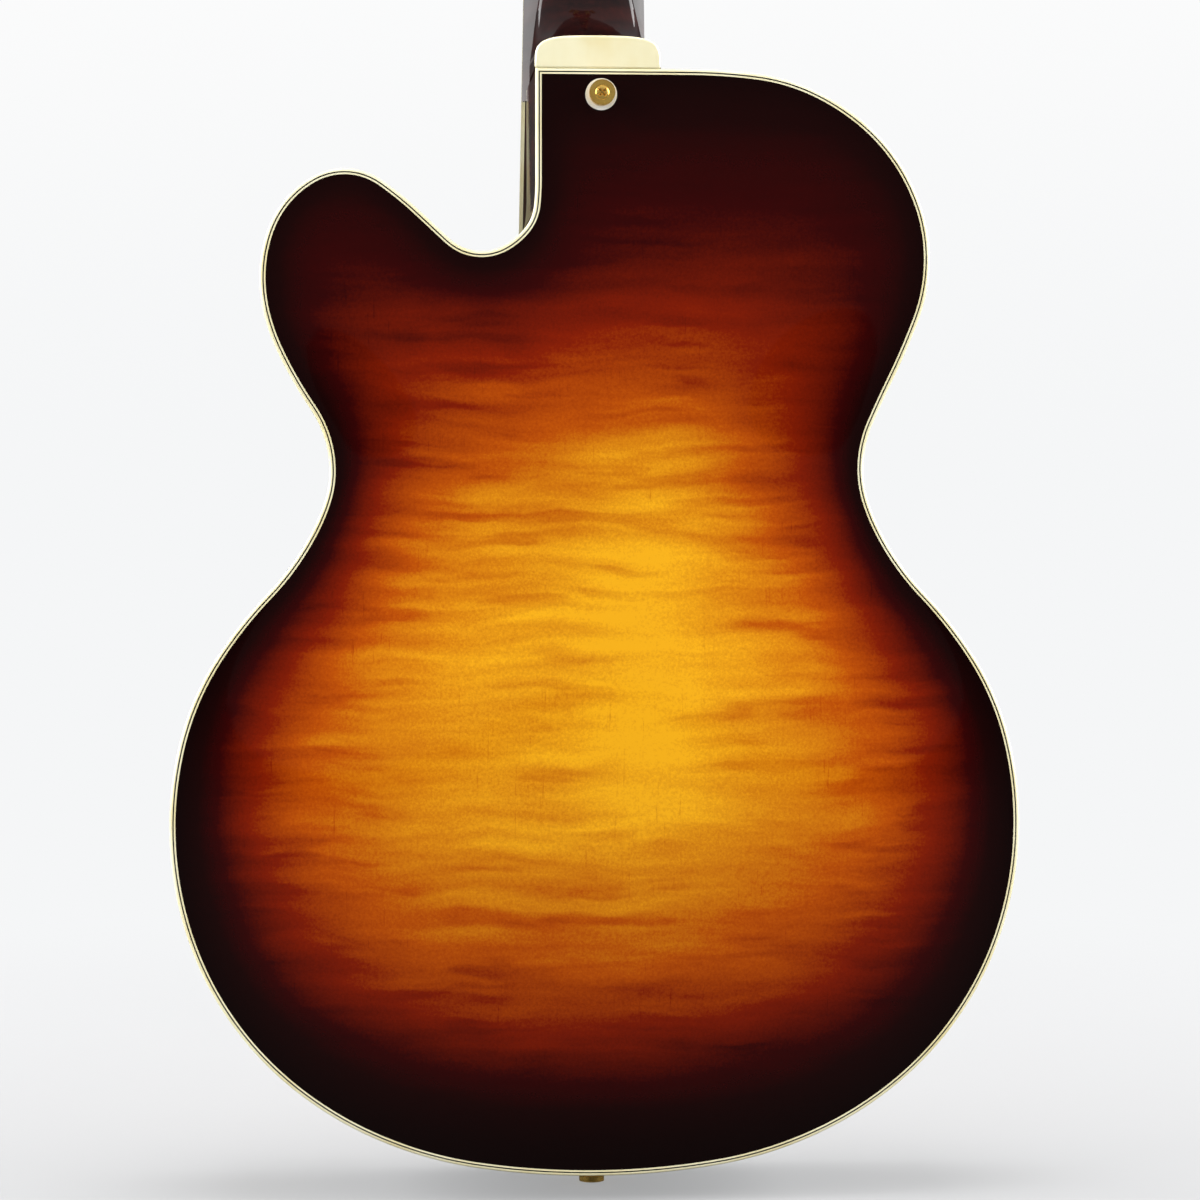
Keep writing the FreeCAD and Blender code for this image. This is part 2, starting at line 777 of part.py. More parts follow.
def string_route(number):
    radius = string_radii[number]
    nut_x = string_x(number, nut_string_span)
    saddle_x = string_x(number, bridge_string_span)
    nut = V(nut_x, crown_drop(nut_x) - nut_string_height, fret_z(0) + nut_length)
    saddle = V(saddle_x, saddle_y + crown_drop(saddle_x) - radius - string_gap, bridge_z)
    bar = V(saddle_x, tail_bar_y, tail_bar_z)
    end = bar + unit(saddle - bar) * (tail_bar_radius + string_gap)
    # Round the post in a plane parallel to the headstock's face
    side, post_x, post_z = tuner_places()[number]
    lean = math.radians(head_tilt_deg)
    height = (nut.y - board_thickness) * math.cos(lean)
    start_z = (nut.y - board_thickness) * math.sin(lean)
    wrap = post_radius + string_gap + radius
    across = side * (post_x - nut_x)
    up = post_z - start_z
    distance = math.hypot(across, up)
    heading = math.atan2(up, across) + math.asin(wrap / distance)

    def on_post(turn):
        angle = heading + math.pi / 2 - turn
        return head_point(post_x + side * wrap * math.cos(angle), height, post_z + wrap * math.sin(angle))

    full = math.radians(string_wrap_deg)
    edges = rounded_path([end, saddle, neck_point(nut.x, nut.y, nut.z), on_post(0)], string_bend_radius)
    edges.append(Part.Arc(on_post(0), on_post(full / 2), on_post(full)).toShape())
    return edges


def make_strings():
    strings = []
    for number, radius in enumerate(string_radii):
        edges = string_route(number)
        strings.append(tube(edges, radius, string_sides))
    return {"plain_strings": Part.makeCompound(strings[:plain_string_count]),
            "wound_strings": Part.makeCompound(strings[plain_string_count:])}


def make_bridge():
    show = {}
    ground = top_y(0, bridge_z)
    base_top = ground - base_height
    half = base_length / 2
    end_top = top_y(half, bridge_z) - base_end_height
    low_z = bridge_z - base_width / 2
    outline = [V(-half, 0, low_z), V(half, 0, low_z), V(half, end_top, low_z),
               V(base_flat_length / 2, base_top, low_z), V(-base_flat_length / 2, base_top, low_z),
               V(-half, end_top, low_z)]
    base = prism(outline, V(0, 0, base_width)).common(above_top(0))
    relief = prism([V(-base_relief_length / 2, 0, low_z), V(base_relief_length / 2, 0, low_z),
                    V(base_relief_length / 2, ground - base_relief_height, low_z),
                    V(-base_relief_length / 2, ground - base_relief_height, low_z)], V(0, 0, base_width))
    base = base.cut(relief)
    wheel_y = base_top - wheel_lift
    saddle_low = wheel_y - wheel_thickness - string_gap
    posts = []
    saddle_half = saddle_length / 2
    crest = saddle_crest_width / 2
    foot = saddle_width / 2
    shoulder = saddle_low - saddle_end_height
    section = [V(-saddle_half, saddle_low, bridge_z - foot), V(-saddle_half, saddle_low, bridge_z + foot),
               V(-saddle_half, shoulder, bridge_z + foot), V(-saddle_half, saddle_y, bridge_z + crest),
               V(-saddle_half, saddle_y, bridge_z - crest), V(-saddle_half, shoulder, bridge_z - foot)]
    saddle = prism(section, V(saddle_length, 0, 0))
    saddle = saddle.common(rod(board_radius, V(0, saddle_y + board_radius, bridge_z - base_width),
                               V(0, saddle_y + board_radius, bridge_z + base_width)))
    for name, side in (("treble", 1), ("bass", -1)):
        x = side * bridge_post_spacing / 2
        top = base_top - bridge_post_rise
        post = rod(bridge_post_radius, V(x, base_top + bridge_post_bury, bridge_z), V(x, top, bridge_z))
        posts.append(post)
        base = base.cut(post)
        loose = bridge_post_radius + running_gap
        bore = rod(loose, V(x, ground, bridge_z), V(x, top - bridge_post_room, bridge_z))
        saddle = saddle.cut(bore)
        wheel = rod(wheel_radius, V(x, wheel_y, bridge_z), V(x, wheel_y - wheel_thickness, bridge_z))
        show["thumbwheel_" + name] = wheel.cut(bore)
    show["bridge_base"] = base
    show["bridge_posts"] = Part.makeCompound(posts)
    show["bridge_saddle"] = saddle
    return show


def make_tailpiece():
    half = hinge_width / 2
    pin_y = -edge - hinge_rise
    pin_z = hinge_knuckle_radius - bracket_thickness
    reach = half + OVERRUN
    bore = rod(hinge_pin_radius + running_gap, V(-reach, pin_y, pin_z), V(reach, pin_y, pin_z))
    inner = half - hinge_knuckle_length
    bracket = box(-half, half, -edge, bracket_length - edge, -bracket_thickness, 0)
    neck = box(-inner, inner, pin_y, -edge, -bracket_thickness, 0)
    knuckle = rod(hinge_knuckle_radius, V(-inner, pin_y, pin_z), V(inner, pin_y, pin_z))
    bracket = bracket.fuse(neck).fuse(knuckle).cut(bore)
    bracket = bracket.cut(rod(strap_screw_radius, V(0, 0, 0), V(0, 0, -strap_height)))
    bar_half = tail_bar_length / 2
    frame = rod(tail_bar_radius, V(-bar_half, tail_bar_y, tail_bar_z), V(bar_half, tail_bar_y, tail_bar_z))
    for side in (-1, 1):
        near = side * (inner + hinge_gap)
        far = side * half
        foot = V((near + far) / 2, pin_y, pin_z)
        head = V(side * trapeze_spread / 2, tail_bar_y, tail_bar_z)
        frame = frame.fuse(rod(trapeze_rod_radius, foot, head))
        frame = frame.fuse(rod(hinge_knuckle_radius, V(near, pin_y, pin_z), V(far, pin_y, pin_z)))
    pin = rod(hinge_pin_radius, V(-half, pin_y, pin_z), V(half, pin_y, pin_z))
    return {"tailpiece_bracket": bracket, "tailpiece_frame": frame.cut(bore), "tailpiece_hinge_pin": pin}


def make_pickguard():
    points = [V(guard_inner_x + x * guard_width, guard_y, guard_lower_z + z * guard_length)
              for x, z in guard_shares]
    guard = prism(points, V(0, guard_thickness, 0))
    upright = [e for e in guard.Edges if abs(e.Length - guard_thickness) < running_gap]
    guard = guard.makeFillet(guard_corner, upright)
    under = guard_y + guard_thickness
    posts = []
    for share_x, share_z in guard_post_shares:
        x = guard_inner_x + share_x * guard_width
        z = guard_lower_z + share_z * guard_length
        posts.append(rod(guard_post_radius, V(x, 0, z), V(x, under, z)).common(above_top(0)))
    return {"pickguard": guard, "pickguard_posts": Part.makeCompound(posts)}


def rounded_block(width, length, corner, y_low, y_high, z):
    block = box(-width / 2, width / 2, y_low, y_high, z - length / 2, z + length / 2)
    upright = [e for e in block.Edges if abs(e.Length - (y_high - y_low)) < running_gap]
    return block.makeFillet(corner, upright)


def string_plane_y(z):
    nut = neck_point(0, -nut_string_height, fret_z(0))
    return saddle_y + (nut.y - saddle_y) * (z - bridge_z) / (nut.z - bridge_z)


def pickup_block(gap):
    top = string_plane_y(pickup_z) + pickup_string_gap
    return rounded_block(pickup_width + 2 * gap, pickup_length + 2 * gap, pickup_corner, top,
                         top + pickup_depth, pickup_z)


def make_pickup():
    ring_top = top_y(0, pickup_z) - ring_height
    ring = rounded_block(ring_width, ring_length, ring_corner, ring_top, -half_depth, pickup_z)
    ring = ring.common(above_top(0)).cut(pickup_block(pickup_gap))
    return {"neck_pickup": pickup_block(0), "pickup_ring": ring}


def around(x, z, radius):
    turns = [2 * math.pi * step / 8 for step in range(8)]
    return [top_y(x + radius * math.cos(t), z + radius * math.sin(t)) for t in turns] + [top_y(x, z)]


def make_controls():
    show = {}
    pots = []
    for name, x, z in (("volume", volume_x, volume_z), ("tone", tone_x, tone_z)):
        def along(radius, start, end):
            return rod(radius, V(x, start, z), V(x, end, z))

        knob_low = min(around(x, z, knob_radius)) - knob_gap
        knob_top = knob_low - knob_height
        can_top = max(around(x, z, pot_radius)) + plate_thickness + land_step + seat_gap
        can_low = can_top + pot_height
        nut_low = min(around(x, z, pot_nut_radius)) - seat_gap
        pot = along(pot_radius, can_top, can_low)
        pot = pot.fuse(along(pot_bush_radius, can_top + pot_wall, nut_low - pot_bush_rise))
        pot = pot.fuse(along(pot_nut_radius, nut_low, nut_low - pot_nut_height))
        shaft_low = can_low - pot_wall
        pot = pot.cut(along(shaft_radius + running_gap, shaft_low, knob_top))
        pots.append(pot)
        shaft_top = knob_top + knob_wall
        shaft = along(shaft_radius, shaft_low - running_gap, shaft_top)
        knob = along(knob_radius, knob_low, knob_top)
        knob = knob.cut(along(knob_recess_radius, knob_low, knob_low - knob_recess_depth)).cut(shaft)
        show[name + "_knob"] = knob
        show[name + "_shaft"] = shaft
    show["potentiometers"] = Part.makeCompound(pots)
    return show


def pot_holes():
    holes = []
    for x, z in ((volume_x, volume_z), (tone_x, tone_z)):
        holes.append(rod(pot_bush_radius + running_gap, V(x, 0, z), V(x, -2 * edge, z)))
    return Part.makeCompound(holes)


def jack_axis():
    place = V(jack_place_share[0] * half_bout, 0, jack_place_share[1] * body_length)
    middles = []
    for arc in chain_edges(OUTLINE):
        half_way = arc.getParameterByLength(arc.Length / 2)
        middles.append((arc.valueAt(half_way), arc.tangentAt(half_way)))
    point, along = min(middles, key=lambda middle: (middle[0] - place).Length)
    return point, left_of(along)


def jack_hole():
    point, inward = jack_axis()
    return rod(jack_barrel_radius + running_gap, point - inward * OVERRUN, point + inward * jack_length)


def make_jack():
    point, inward = jack_axis()
    jack = rod(jack_barrel_radius, point, point + inward * jack_length)
    jack = jack.fuse(rod(jack_flange_radius, point - inward * jack_flange_thickness, point))
    nut_start = rim_thickness + seat_gap
    jack = jack.fuse(rod(jack_nut_radius, point + inward * nut_start,
                         point + inward * (nut_start + jack_nut_thickness)))
    bore = rod(jack_bore_radius, point - inward * OVERRUN, point + inward * (jack_length + OVERRUN))
    return {"output_jack": jack.cut(bore)}


def strap_seats():
    # Where each washer sits and the way its button points
    sheet = arched_sheet(1, back_arch, 0)
    heights = []
    for z in (strap_button_z - strap_washer_radius, strap_button_z, strap_button_z + strap_washer_radius):
        probe = Part.makeLine(V(strap_button_x, 0, z), V(strap_button_x, 2 * edge, z))
        heights.append(probe.distToShape(sheet)[1][0][0].y)
    back = max(heights) + seat_gap
    return ((V(strap_button_x, back, strap_button_z), V(0, 1, 0)), (V(0, 0, -bracket_thickness), V(0, 0, -1)))


def turned(profile, seat, out):
    # Solid of revolution about the axis through seat, from (radius, height) pairs
    across = V(1, 0, 0)
    points = [seat + across * radius + out * height for radius, height in profile]
    return Part.Face(Part.makePolygon(points + [points[0]])).revolve(seat, out, 360)


def strap_screw_shape(seat, out):
    head = strap_washer_thickness + strap_height
    sink = strap_screw_head_radius - strap_screw_radius
    profile = ((0, -strap_screw_length), (strap_screw_radius, -strap_screw_length),
               (strap_screw_radius, head - sink), (strap_screw_head_radius, head),
               (strap_screw_radius, head + strap_screw_head_rise), (0, head + strap_screw_head_rise))
    return turned(profile, seat, out)


def make_strap_buttons():
    buttons = []
    screws = []
    washers = []
    for seat, out in strap_seats():
        screw = strap_screw_shape(seat, out)
        low = strap_washer_thickness
        high = low + strap_height
        profile = ((0, low), (strap_foot_radius, low), (strap_foot_radius, low + strap_foot_height),
                   (strap_waist_radius, low + 2 * strap_foot_height),
                   (strap_waist_radius, high - 2 * strap_head_height),
                   (strap_head_radius, high - strap_head_height), (strap_head_radius, high), (0, high))
        buttons.append(turned(profile, seat, out).cut(screw))
        screws.append(screw)
        washers.append(rod(strap_washer_radius, seat, seat + out * low).cut(screw))
    return {"strap_buttons": Part.makeCompound(buttons), "strap_screws": Part.makeCompound(screws),
            "strap_washers": Part.makeCompound(washers)}


def make_tone_bars():
    bars = []
    for side in (-1, 1):
        half_length = tone_bar_length_share * body_length / 2
        bar = box(-tone_bar_width / 2, tone_bar_width / 2, -2 * edge, tone_bar_height - half_depth,
                  -half_length, half_length)
        bar.rotate(V(0, 0, 0), V(0, 1, 0), side * tone_bar_lean_deg)
        bar.translate(V(side * tone_bar_spacing / 2, 0, bridge_z))
        bars.append(bar.cut(above_top(-plate_thickness - land_step - running_gap)))
    return {"tone_bars": Part.makeCompound(bars)}


def make_parts():
    show = make_body()
    for made in (make_fretboard(), make_neck(), make_truss_rod(), make_tuners(), make_strings(),
                 make_bridge(), make_tailpiece(), make_pickguard(), make_pickup(), make_controls(),
                 make_jack(), make_strap_buttons(), make_tone_bars()):
        show.update(made)
    show["nut"] = make_nut()
    screws = show["strap_screws"]
    for node in ("back_plate", "bass_rim", "treble_rim", "back_binding", "neck_block", "tail_block",
                 "linings"):
        show[node] = show[node].cut(screws)
    show["top_plate"] = show["top_plate"].cut(pickup_block(pickup_gap)).cut(pot_holes())
    show["treble_rim"] = show["treble_rim"].cut(jack_hole())
    return show


def main():
    # The frame's origin is the middle of the end button's head
    os.makedirs("parts", exist_ok=True)
    for node, shape in make_parts().items():
        shape.translate(V(0, 0, button_middle))
        shape.exportStep("parts/%s.step" % node)


if __name__ == "__main__":
    main()
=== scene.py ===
import json
import math
from contextlib import contextmanager

import bmesh
import bpy
import numpy as np
from mathutils import Matrix, Vector
from mathutils.geometry import delaunay_2d_cdt

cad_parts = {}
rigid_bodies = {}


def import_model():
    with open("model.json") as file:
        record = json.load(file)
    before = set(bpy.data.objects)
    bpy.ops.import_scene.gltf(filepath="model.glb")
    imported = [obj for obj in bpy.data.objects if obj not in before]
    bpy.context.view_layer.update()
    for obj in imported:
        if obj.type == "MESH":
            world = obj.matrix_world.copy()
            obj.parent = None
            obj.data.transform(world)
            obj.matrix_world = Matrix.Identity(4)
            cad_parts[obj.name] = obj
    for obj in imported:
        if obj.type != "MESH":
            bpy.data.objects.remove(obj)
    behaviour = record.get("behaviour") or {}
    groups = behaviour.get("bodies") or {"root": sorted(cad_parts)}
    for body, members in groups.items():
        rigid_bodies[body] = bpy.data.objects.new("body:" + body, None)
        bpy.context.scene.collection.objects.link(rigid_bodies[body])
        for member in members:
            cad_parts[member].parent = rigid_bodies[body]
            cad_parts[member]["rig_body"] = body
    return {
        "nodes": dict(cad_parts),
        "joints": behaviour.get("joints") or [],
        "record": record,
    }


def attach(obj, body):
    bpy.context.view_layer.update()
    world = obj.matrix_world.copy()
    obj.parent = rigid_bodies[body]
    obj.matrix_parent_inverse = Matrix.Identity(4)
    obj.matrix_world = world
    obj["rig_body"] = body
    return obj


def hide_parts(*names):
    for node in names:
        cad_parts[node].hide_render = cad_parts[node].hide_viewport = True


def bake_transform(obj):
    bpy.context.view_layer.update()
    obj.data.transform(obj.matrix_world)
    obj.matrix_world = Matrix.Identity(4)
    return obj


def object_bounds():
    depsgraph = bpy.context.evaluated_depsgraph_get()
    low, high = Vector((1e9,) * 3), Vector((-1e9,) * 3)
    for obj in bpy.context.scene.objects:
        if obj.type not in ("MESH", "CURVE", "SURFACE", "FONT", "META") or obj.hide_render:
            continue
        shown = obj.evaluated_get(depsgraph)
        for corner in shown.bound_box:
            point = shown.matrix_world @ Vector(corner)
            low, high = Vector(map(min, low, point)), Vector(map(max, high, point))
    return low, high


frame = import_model()
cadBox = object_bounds()
nodes = frame["nodes"]
slotOf = {part["node"]: part["material_slot"] for part in frame["record"]["subparts"]}
bpy.context.scene.view_settings.view_transform = "Standard"
mm = 0.001
tiny = 1e-6
print("frame loaded:", len(nodes), "nodes")


def paint(red, green, blue):
    # 0-255 picture values to linear light
    def light(value):
        value /= 255
        return value / 12.92 if value <= 0.04045 else ((value + 0.055) / 1.055) ** 2.4
    return (light(red), light(green), light(blue), 1)


class Term:
    # a socket that can be added, multiplied and so on
    def __init__(self, shade, socket):
        self.shade = shade
        self.socket = socket

    def calc(self, operation, *others):
        return self.shade.node("ShaderNodeMath", {"operation": operation}, dict(enumerate((self,) + others)))

    def __add__(self, other):
        return self.calc("ADD", other)

    def __sub__(self, other):
        return self.calc("SUBTRACT", other)

    def __rsub__(self, other):
        return (self * -1) + other

    def __mul__(self, other):
        return self.calc("MULTIPLY", other)

    def __truediv__(self, other):
        return self.calc("DIVIDE", other)

    def __pow__(self, other):
        return self.calc("POWER", other)

    __radd__ = __add__
    __rmul__ = __mul__

    def clamp(self):
        return self.shade.node("ShaderNodeClamp", {}, {0: self})

    def between(self, low, high):
        # 0 below low, 1 above high, smooth in between
        return self.shade.node("ShaderNodeMapRange", {"interpolation_type": "SMOOTHSTEP"},
                               {0: self, 1: low, 2: high, 3: 0, 4: 1})


class Wires:
    # makes the nodes of one tree
    def __init__(self, tree):
        self.tree = tree

    def node(self, kind, settings=None, sockets=None, out=0):
        made = self.tree.nodes.new(kind)
        for key, value in (settings or {}).items():
            if key == "stops":
                ramp = made.color_ramp
                while len(ramp.elements) < len(value):
                    ramp.elements.new(1)
                for element, (place, colour) in zip(ramp.elements, value):
                    element.position = place
                    element.color = colour
            else:
                setattr(made, key, value)
        for key, value in (sockets or {}).items():
            if isinstance(value, Term):
                self.tree.links.new(value.socket, made.inputs[key])
            else:
                made.inputs[key].default_value = value
        return Term(self, made.outputs[out])

    def axes(self, vector):
        return [self.node("ShaderNodeSeparateXYZ", {}, {0: vector}, out) for out in range(3)]

    def join(self, x, y, z):
        return self.node("ShaderNodeCombineXYZ", {}, {0: x, 1: y, 2: z})


class Shade(Wires):
    # the nodes of a material, or of the world
    def __init__(self, name, owner=None):
        self.owner = owner or bpy.data.materials.new(name)
        self.owner.use_nodes = True
        super().__init__(self.owner.node_tree)
        self.surface = self.tree.nodes.get("Principled BSDF")

    def place(self):
        return self.node("ShaderNodeTexCoord", out="Object")

    def attribute(self, name):
        return self.node("ShaderNodeAttribute", {"attribute_name": name}, out="Fac")

    def noise(self, vector, scale=1, detail=2, rough=0.5):
        return self.node("ShaderNodeTexNoise", {},
                         {"Vector": vector, "Scale": scale, "Detail": detail, "Roughness": rough}, "Fac")

    def grain(self, vector, scales, detail=2, rough=0.5):
        # noise with a scale of its own along each axis
        drawn = self.node("ShaderNodeVectorMath", {"operation": "MULTIPLY"}, {0: vector, 1: scales})
        return self.noise(drawn, 1, detail, rough)

    def ramp(self, term, stops):
        return self.node("ShaderNodeValToRGB", {"stops": stops}, {0: term})

    def level(self, term, stops):
        # a grey ramp read as a number
        return self.ramp(term, [(place, (value, value, value, 1)) for place, value in stops])

    def mix(self, factor, first, second):
        return self.node("ShaderNodeMix", {"data_type": "RGBA"}, {0: factor, 6: first, 7: second}, 2)

    def bump(self, height, depth, strength):
        return self.node("ShaderNodeBump", {}, {"Height": height, "Distance": depth, "Strength": strength})

    def show(self, shader):
        last = next(node for node in self.tree.nodes if node.type.startswith("OUTPUT"))
        self.tree.links.new(shader.socket, last.inputs["Surface"])

    def done(self, **sockets):
        for key, value in sockets.items():
            socket = self.surface.inputs[key.replace("_", " ")]
            if isinstance(value, Term):
                self.tree.links.new(value.socket, socket)
            else:
                socket.default_value = value
        return self.owner


class Grow(Wires):
    # a geometry tree with named inputs
    def __init__(self, name, inputs):
        super().__init__(bpy.data.node_groups.new(name, "GeometryNodeTree"))
        for label, kind in inputs.items():
            self.tree.interface.new_socket(label, in_out="INPUT", socket_type="NodeSocket" + kind)
        self.tree.interface.new_socket("Result", in_out="OUTPUT", socket_type="NodeSocketGeometry")
        self.source = self.tree.nodes.new("NodeGroupInput")
        self.last = self.tree.nodes.new("NodeGroupOutput")

    def given(self, label):
        return Term(self, self.source.outputs[label])

    def stored(self, name, kind="FLOAT"):
        return self.node("GeometryNodeInputNamedAttribute", {"data_type": kind}, {"Name": name}, "Attribute")

    def moved(self, geometry, offset):
        return self.node("GeometryNodeSetPosition", {}, {"Geometry": geometry, "Offset": offset})

    def finish(self, geometry):
        real = self.node("GeometryNodeRealizeInstances", {}, {0: geometry})
        dressed = self.node("GeometryNodeSetMaterial", {},
                            {"Geometry": real, "Material": self.given("Finish")})
        self.tree.links.new(dressed.socket, self.last.inputs[0])
        return self.tree


flame = {
    # scale across and up the body, slice of the noise, detail and roughness
    "sway": (14, 26, 0, 3, 0.5), "bands": (15, 130, 0.3, 1.5, 0.45), "streaks": (20, 150, 1.7, 1.5, 0.5),
    "ribbon": (26, 9, 4.1, 2, 0.5), "fine": (55, 380, 2.9, 2, 0.5),
    "swayReach": 0.016, "streakEdge": (0.53, 0.68), "ribbonEdge": (0.3, 0.6),
    # strength added in the ribbons, and strength everywhere
    "bandShare": (1.9, 1.1), "streakShare": (0.5, 0.15), "fineShare": 0.7,
}


def flameFigure(shade, vector):
    # ripples across the grain: soft bands and short dark streaks, broken into ribbons
    x, y, z = shade.axes(vector)

    def ripples(key, height):
        wide, high, cut, detail, rough = flame[key]
        return shade.noise(shade.join(x * wide, cut, height * high), 1, detail, rough)

    def share(key):
        inRibbons, everywhere = flame[key]
        return ribbon * inRibbons + everywhere
    lift = z + (ripples("sway", z) - 0.5) * flame["swayReach"]
    bands = ripples("bands", lift) - 0.5
    streaks = ripples("streaks", lift).between(*flame["streakEdge"])
    ribbon = ripples("ribbon", z).between(*flame["ribbonEdge"])
    fine = ripples("fine", lift) - 0.5
    return bands * share("bandShare") - streaks * share("streakShare") + fine * flame["fineShare"]


def poreMarks(shade, vector):
    # short dark lines along the grain, in patches
    pores = shade.grain(vector, (900, 300, 40), detail=3, rough=0.6).between(0.62, 0.74)
    return pores * shade.noise(vector, scale=22).between(0.42, 0.62)


burst = {
    "stops": [(0, paint(12, 3, 3)), (0.1, paint(25, 4, 4)), (0.2, paint(49, 4, 4)), (0.4, paint(123, 27, 4)),
              (0.6, paint(178, 76, 7)), (0.8, paint(211, 130, 17)), (1, paint(242, 174, 28))],
    # height up the body (mm), brightness there, width of the dark edge (mm) and how sharply it ends
    "zones": [(10, 0.04, 55, 1.5), (47, 0.42, 56, 1.5), (97, 0.71, 55, 1.5), (172, 0.91, 51, 1.5),
              (247, 0.95, 43, 1.3), (297, 0.85, 35, 1.05), (347, 0.69, 44, 1.1), (397, 0.36, 29, 0.95),
              (422, 0.23, 15, 0.9), (491, 0.07, 6, 0.9)],
    "mostGlow": 1, "mostWidth": 60, "mostPower": 2,
    # a painted highlight, a brighter stripe up the middle of the arch: its strength, shift and tightness, and
    # where it starts and ends (m)
    "core": 0.13, "coreShift": 0.02, "coreTight": 28, "coreFoot": (0.08, 0.2), "coreHead": (0.3, 0.38),
    "lean": 0.2, "cloud": 0.14, "flame": 0.14, "flameFrom": (0, 0.75), "straight": 0.9,
    "pores": 0.14, "speck": 0.34,
}


def sunburst(name, figured):
    # maple with flame, or straight close grain on the top, with a painted highlight up the middle
    shade = Shade(name)
    vector = shade.place()
    x, y, z = shade.axes(vector)
    top = burst["zones"][-1][0]

    def upBody(column, most):
        # one column of the zones as it changes up the body
        stops = [(zone[0] / top, zone[column] / most) for zone in burst["zones"]]
        return shade.level(z / (top * mm), stops) * most
    glow = upBody(1, burst["mostGlow"])
    width = upBody(2, burst["mostWidth"])
    power = upBody(3, burst["mostPower"])
    fade = 1 - ((shade.attribute("edgeDistance") / width) ** power * -1).calc("EXPONENT")
    # painted highlight: a brighter stripe up the middle of the plate
    core = (((x + burst["coreShift"]) * burst["coreTight"]) ** 2 * -1).calc("EXPONENT")
    core = core * z.between(*burst["coreFoot"]) * (1 - z.between(*burst["coreHead"]))
    cloud = shade.noise(vector, scale=13, detail=3) - 0.5
    level = glow * fade * (1 + cloud * burst["cloud"] + x * burst["lean"]) + core * burst["core"]
    if figured:
        figure = flameFigure(shade, vector)
    else:
        figure = (shade.grain(vector, (700, 0, 4)) - 0.5) * burst["straight"]
    level = level + figure * burst["flame"] * level.between(*burst["flameFrom"])
    speck = shade.noise(vector, scale=900, rough=0.7) - 0.5
    level = level * (1 - poreMarks(shade, vector) * burst["pores"] + speck * burst["speck"])
    colour = shade.ramp(level.clamp(), burst["stops"])
    peel = shade.noise(vector, scale=55)
    return shade.done(Base_Color=colour, Roughness=0.5, Coat_Weight=0.55, Coat_Roughness=0.03, Coat_IOR=1.5,
                      Specular_IOR_Level=0.0, Normal=shade.bump(peel, 0.6 * mm, 0.1))


def darkLacquer(name, base, glint):
    # wood under dark lacquer: figure only just shows
    shade = Shade(name)
    vector = shade.place()
    figure = shade.grain(vector, (24, 24, 120), detail=3, rough=0.55).between(0.35, 0.75)
    fibre = shade.grain(vector, (420, 420, 22), detail=3, rough=0.6).between(0.4, 0.8)
    colour = shade.mix(figure * 0.6 + fibre * 0.25, base, glint)
    rough = 0.2 + shade.noise(vector, scale=70, detail=3) * 0.08
    return shade.done(Base_Color=colour, Roughness=rough, Coat_Weight=0.55, Coat_Roughness=0.04,
                      Specular_IOR_Level=0.0)


celluloid = {
    "fresh": paint(248, 243, 208), "aged": paint(236, 221, 163), "line": paint(16, 12, 11),
    # where the dark line starts and ends across the binding (mm)
    "lineFrom": (1.28, 1.36), "lineTo": (1.86, 1.94),
}


def creamCelluloid(name, lined):
    # cream sheet that has yellowed unevenly, with or without the binding's dark line
    shade = Shade(name)
    vector = shade.place()
    aged = shade.noise(vector, scale=40, detail=3).between(0.3, 0.75)
    streak = shade.grain(vector, (300, 300, 30), detail=3)
    colour = shade.mix(aged * 0.7 + streak * 0.2, celluloid["fresh"], celluloid["aged"])
    if lined:
        across = shade.attribute("across")
        line = across.between(*celluloid["lineFrom"]) * (1 - across.between(*celluloid["lineTo"]))
        colour = shade.mix(line, colour, celluloid["line"])
    return shade.done(Base_Color=colour, Roughness=0.28, Coat_Weight=0.8, Coat_Roughness=0.06,
                      Normal=shade.bump(streak, 0.2 * mm, 0.15))


def oiledWood(name, base, light, pore):
    # dark open-pored wood without lacquer
    shade = Shade(name)
    vector = shade.place()
    bands = shade.grain(vector, (130, 60, 5), detail=4, rough=0.55)
    pores = shade.grain(vector, (1500, 500, 70), rough=0.6).between(0.58, 0.68)
    colour = shade.mix(bands.between(0.3, 0.75), base, light)
    colour = shade.mix(pores * 0.8, colour, pore)
    return shade.done(Base_Color=colour, Roughness=0.42 + bands * 0.16, Specular_IOR_Level=0.4,
                      Normal=shade.bump(pores * -1, 0.3 * mm, 0.35))


def bareWood(name):
    shade = Shade(name)
    vector = shade.place()
    bands = shade.grain(vector, (160, 160, 7), detail=4, rough=0.6)
    colour = shade.mix(bands.between(0.3, 0.7), paint(178, 136, 86), paint(206, 170, 118))
    return shade.done(Base_Color=colour, Roughness=0.7, Normal=shade.bump(bands, 0.4 * mm, 0.2))


def plated(name, bright, worn, rough, metal=1.0):
    # polished plating, a little duller where hands have been
    shade = Shade(name)
    vector = shade.place()
    haze = shade.noise(vector, scale=90, detail=4, rough=0.6).between(0.4, 0.8)
    scuff = shade.grain(vector, (900, 900, 240)).between(0.6, 0.8)
    colour = shade.mix(haze, bright, worn)
    return shade.done(Base_Color=colour, Metallic=metal, Roughness=rough + haze * 0.1 + scuff * 0.05)


def gloss(name, base, light, rough):
    # polished sheet or moulding under a trace of dust
    shade = Shade(name)
    vector = shade.place()
    dust = shade.noise(vector, scale=60, detail=4, rough=0.6).between(0.35, 0.8)
    colour = shade.mix(dust, base, light)
    return shade.done(Base_Color=colour, Roughness=rough + dust * 0.1, Coat_Weight=0.35, Coat_Roughness=0.05,
                      Specular_IOR_Level=0.2)


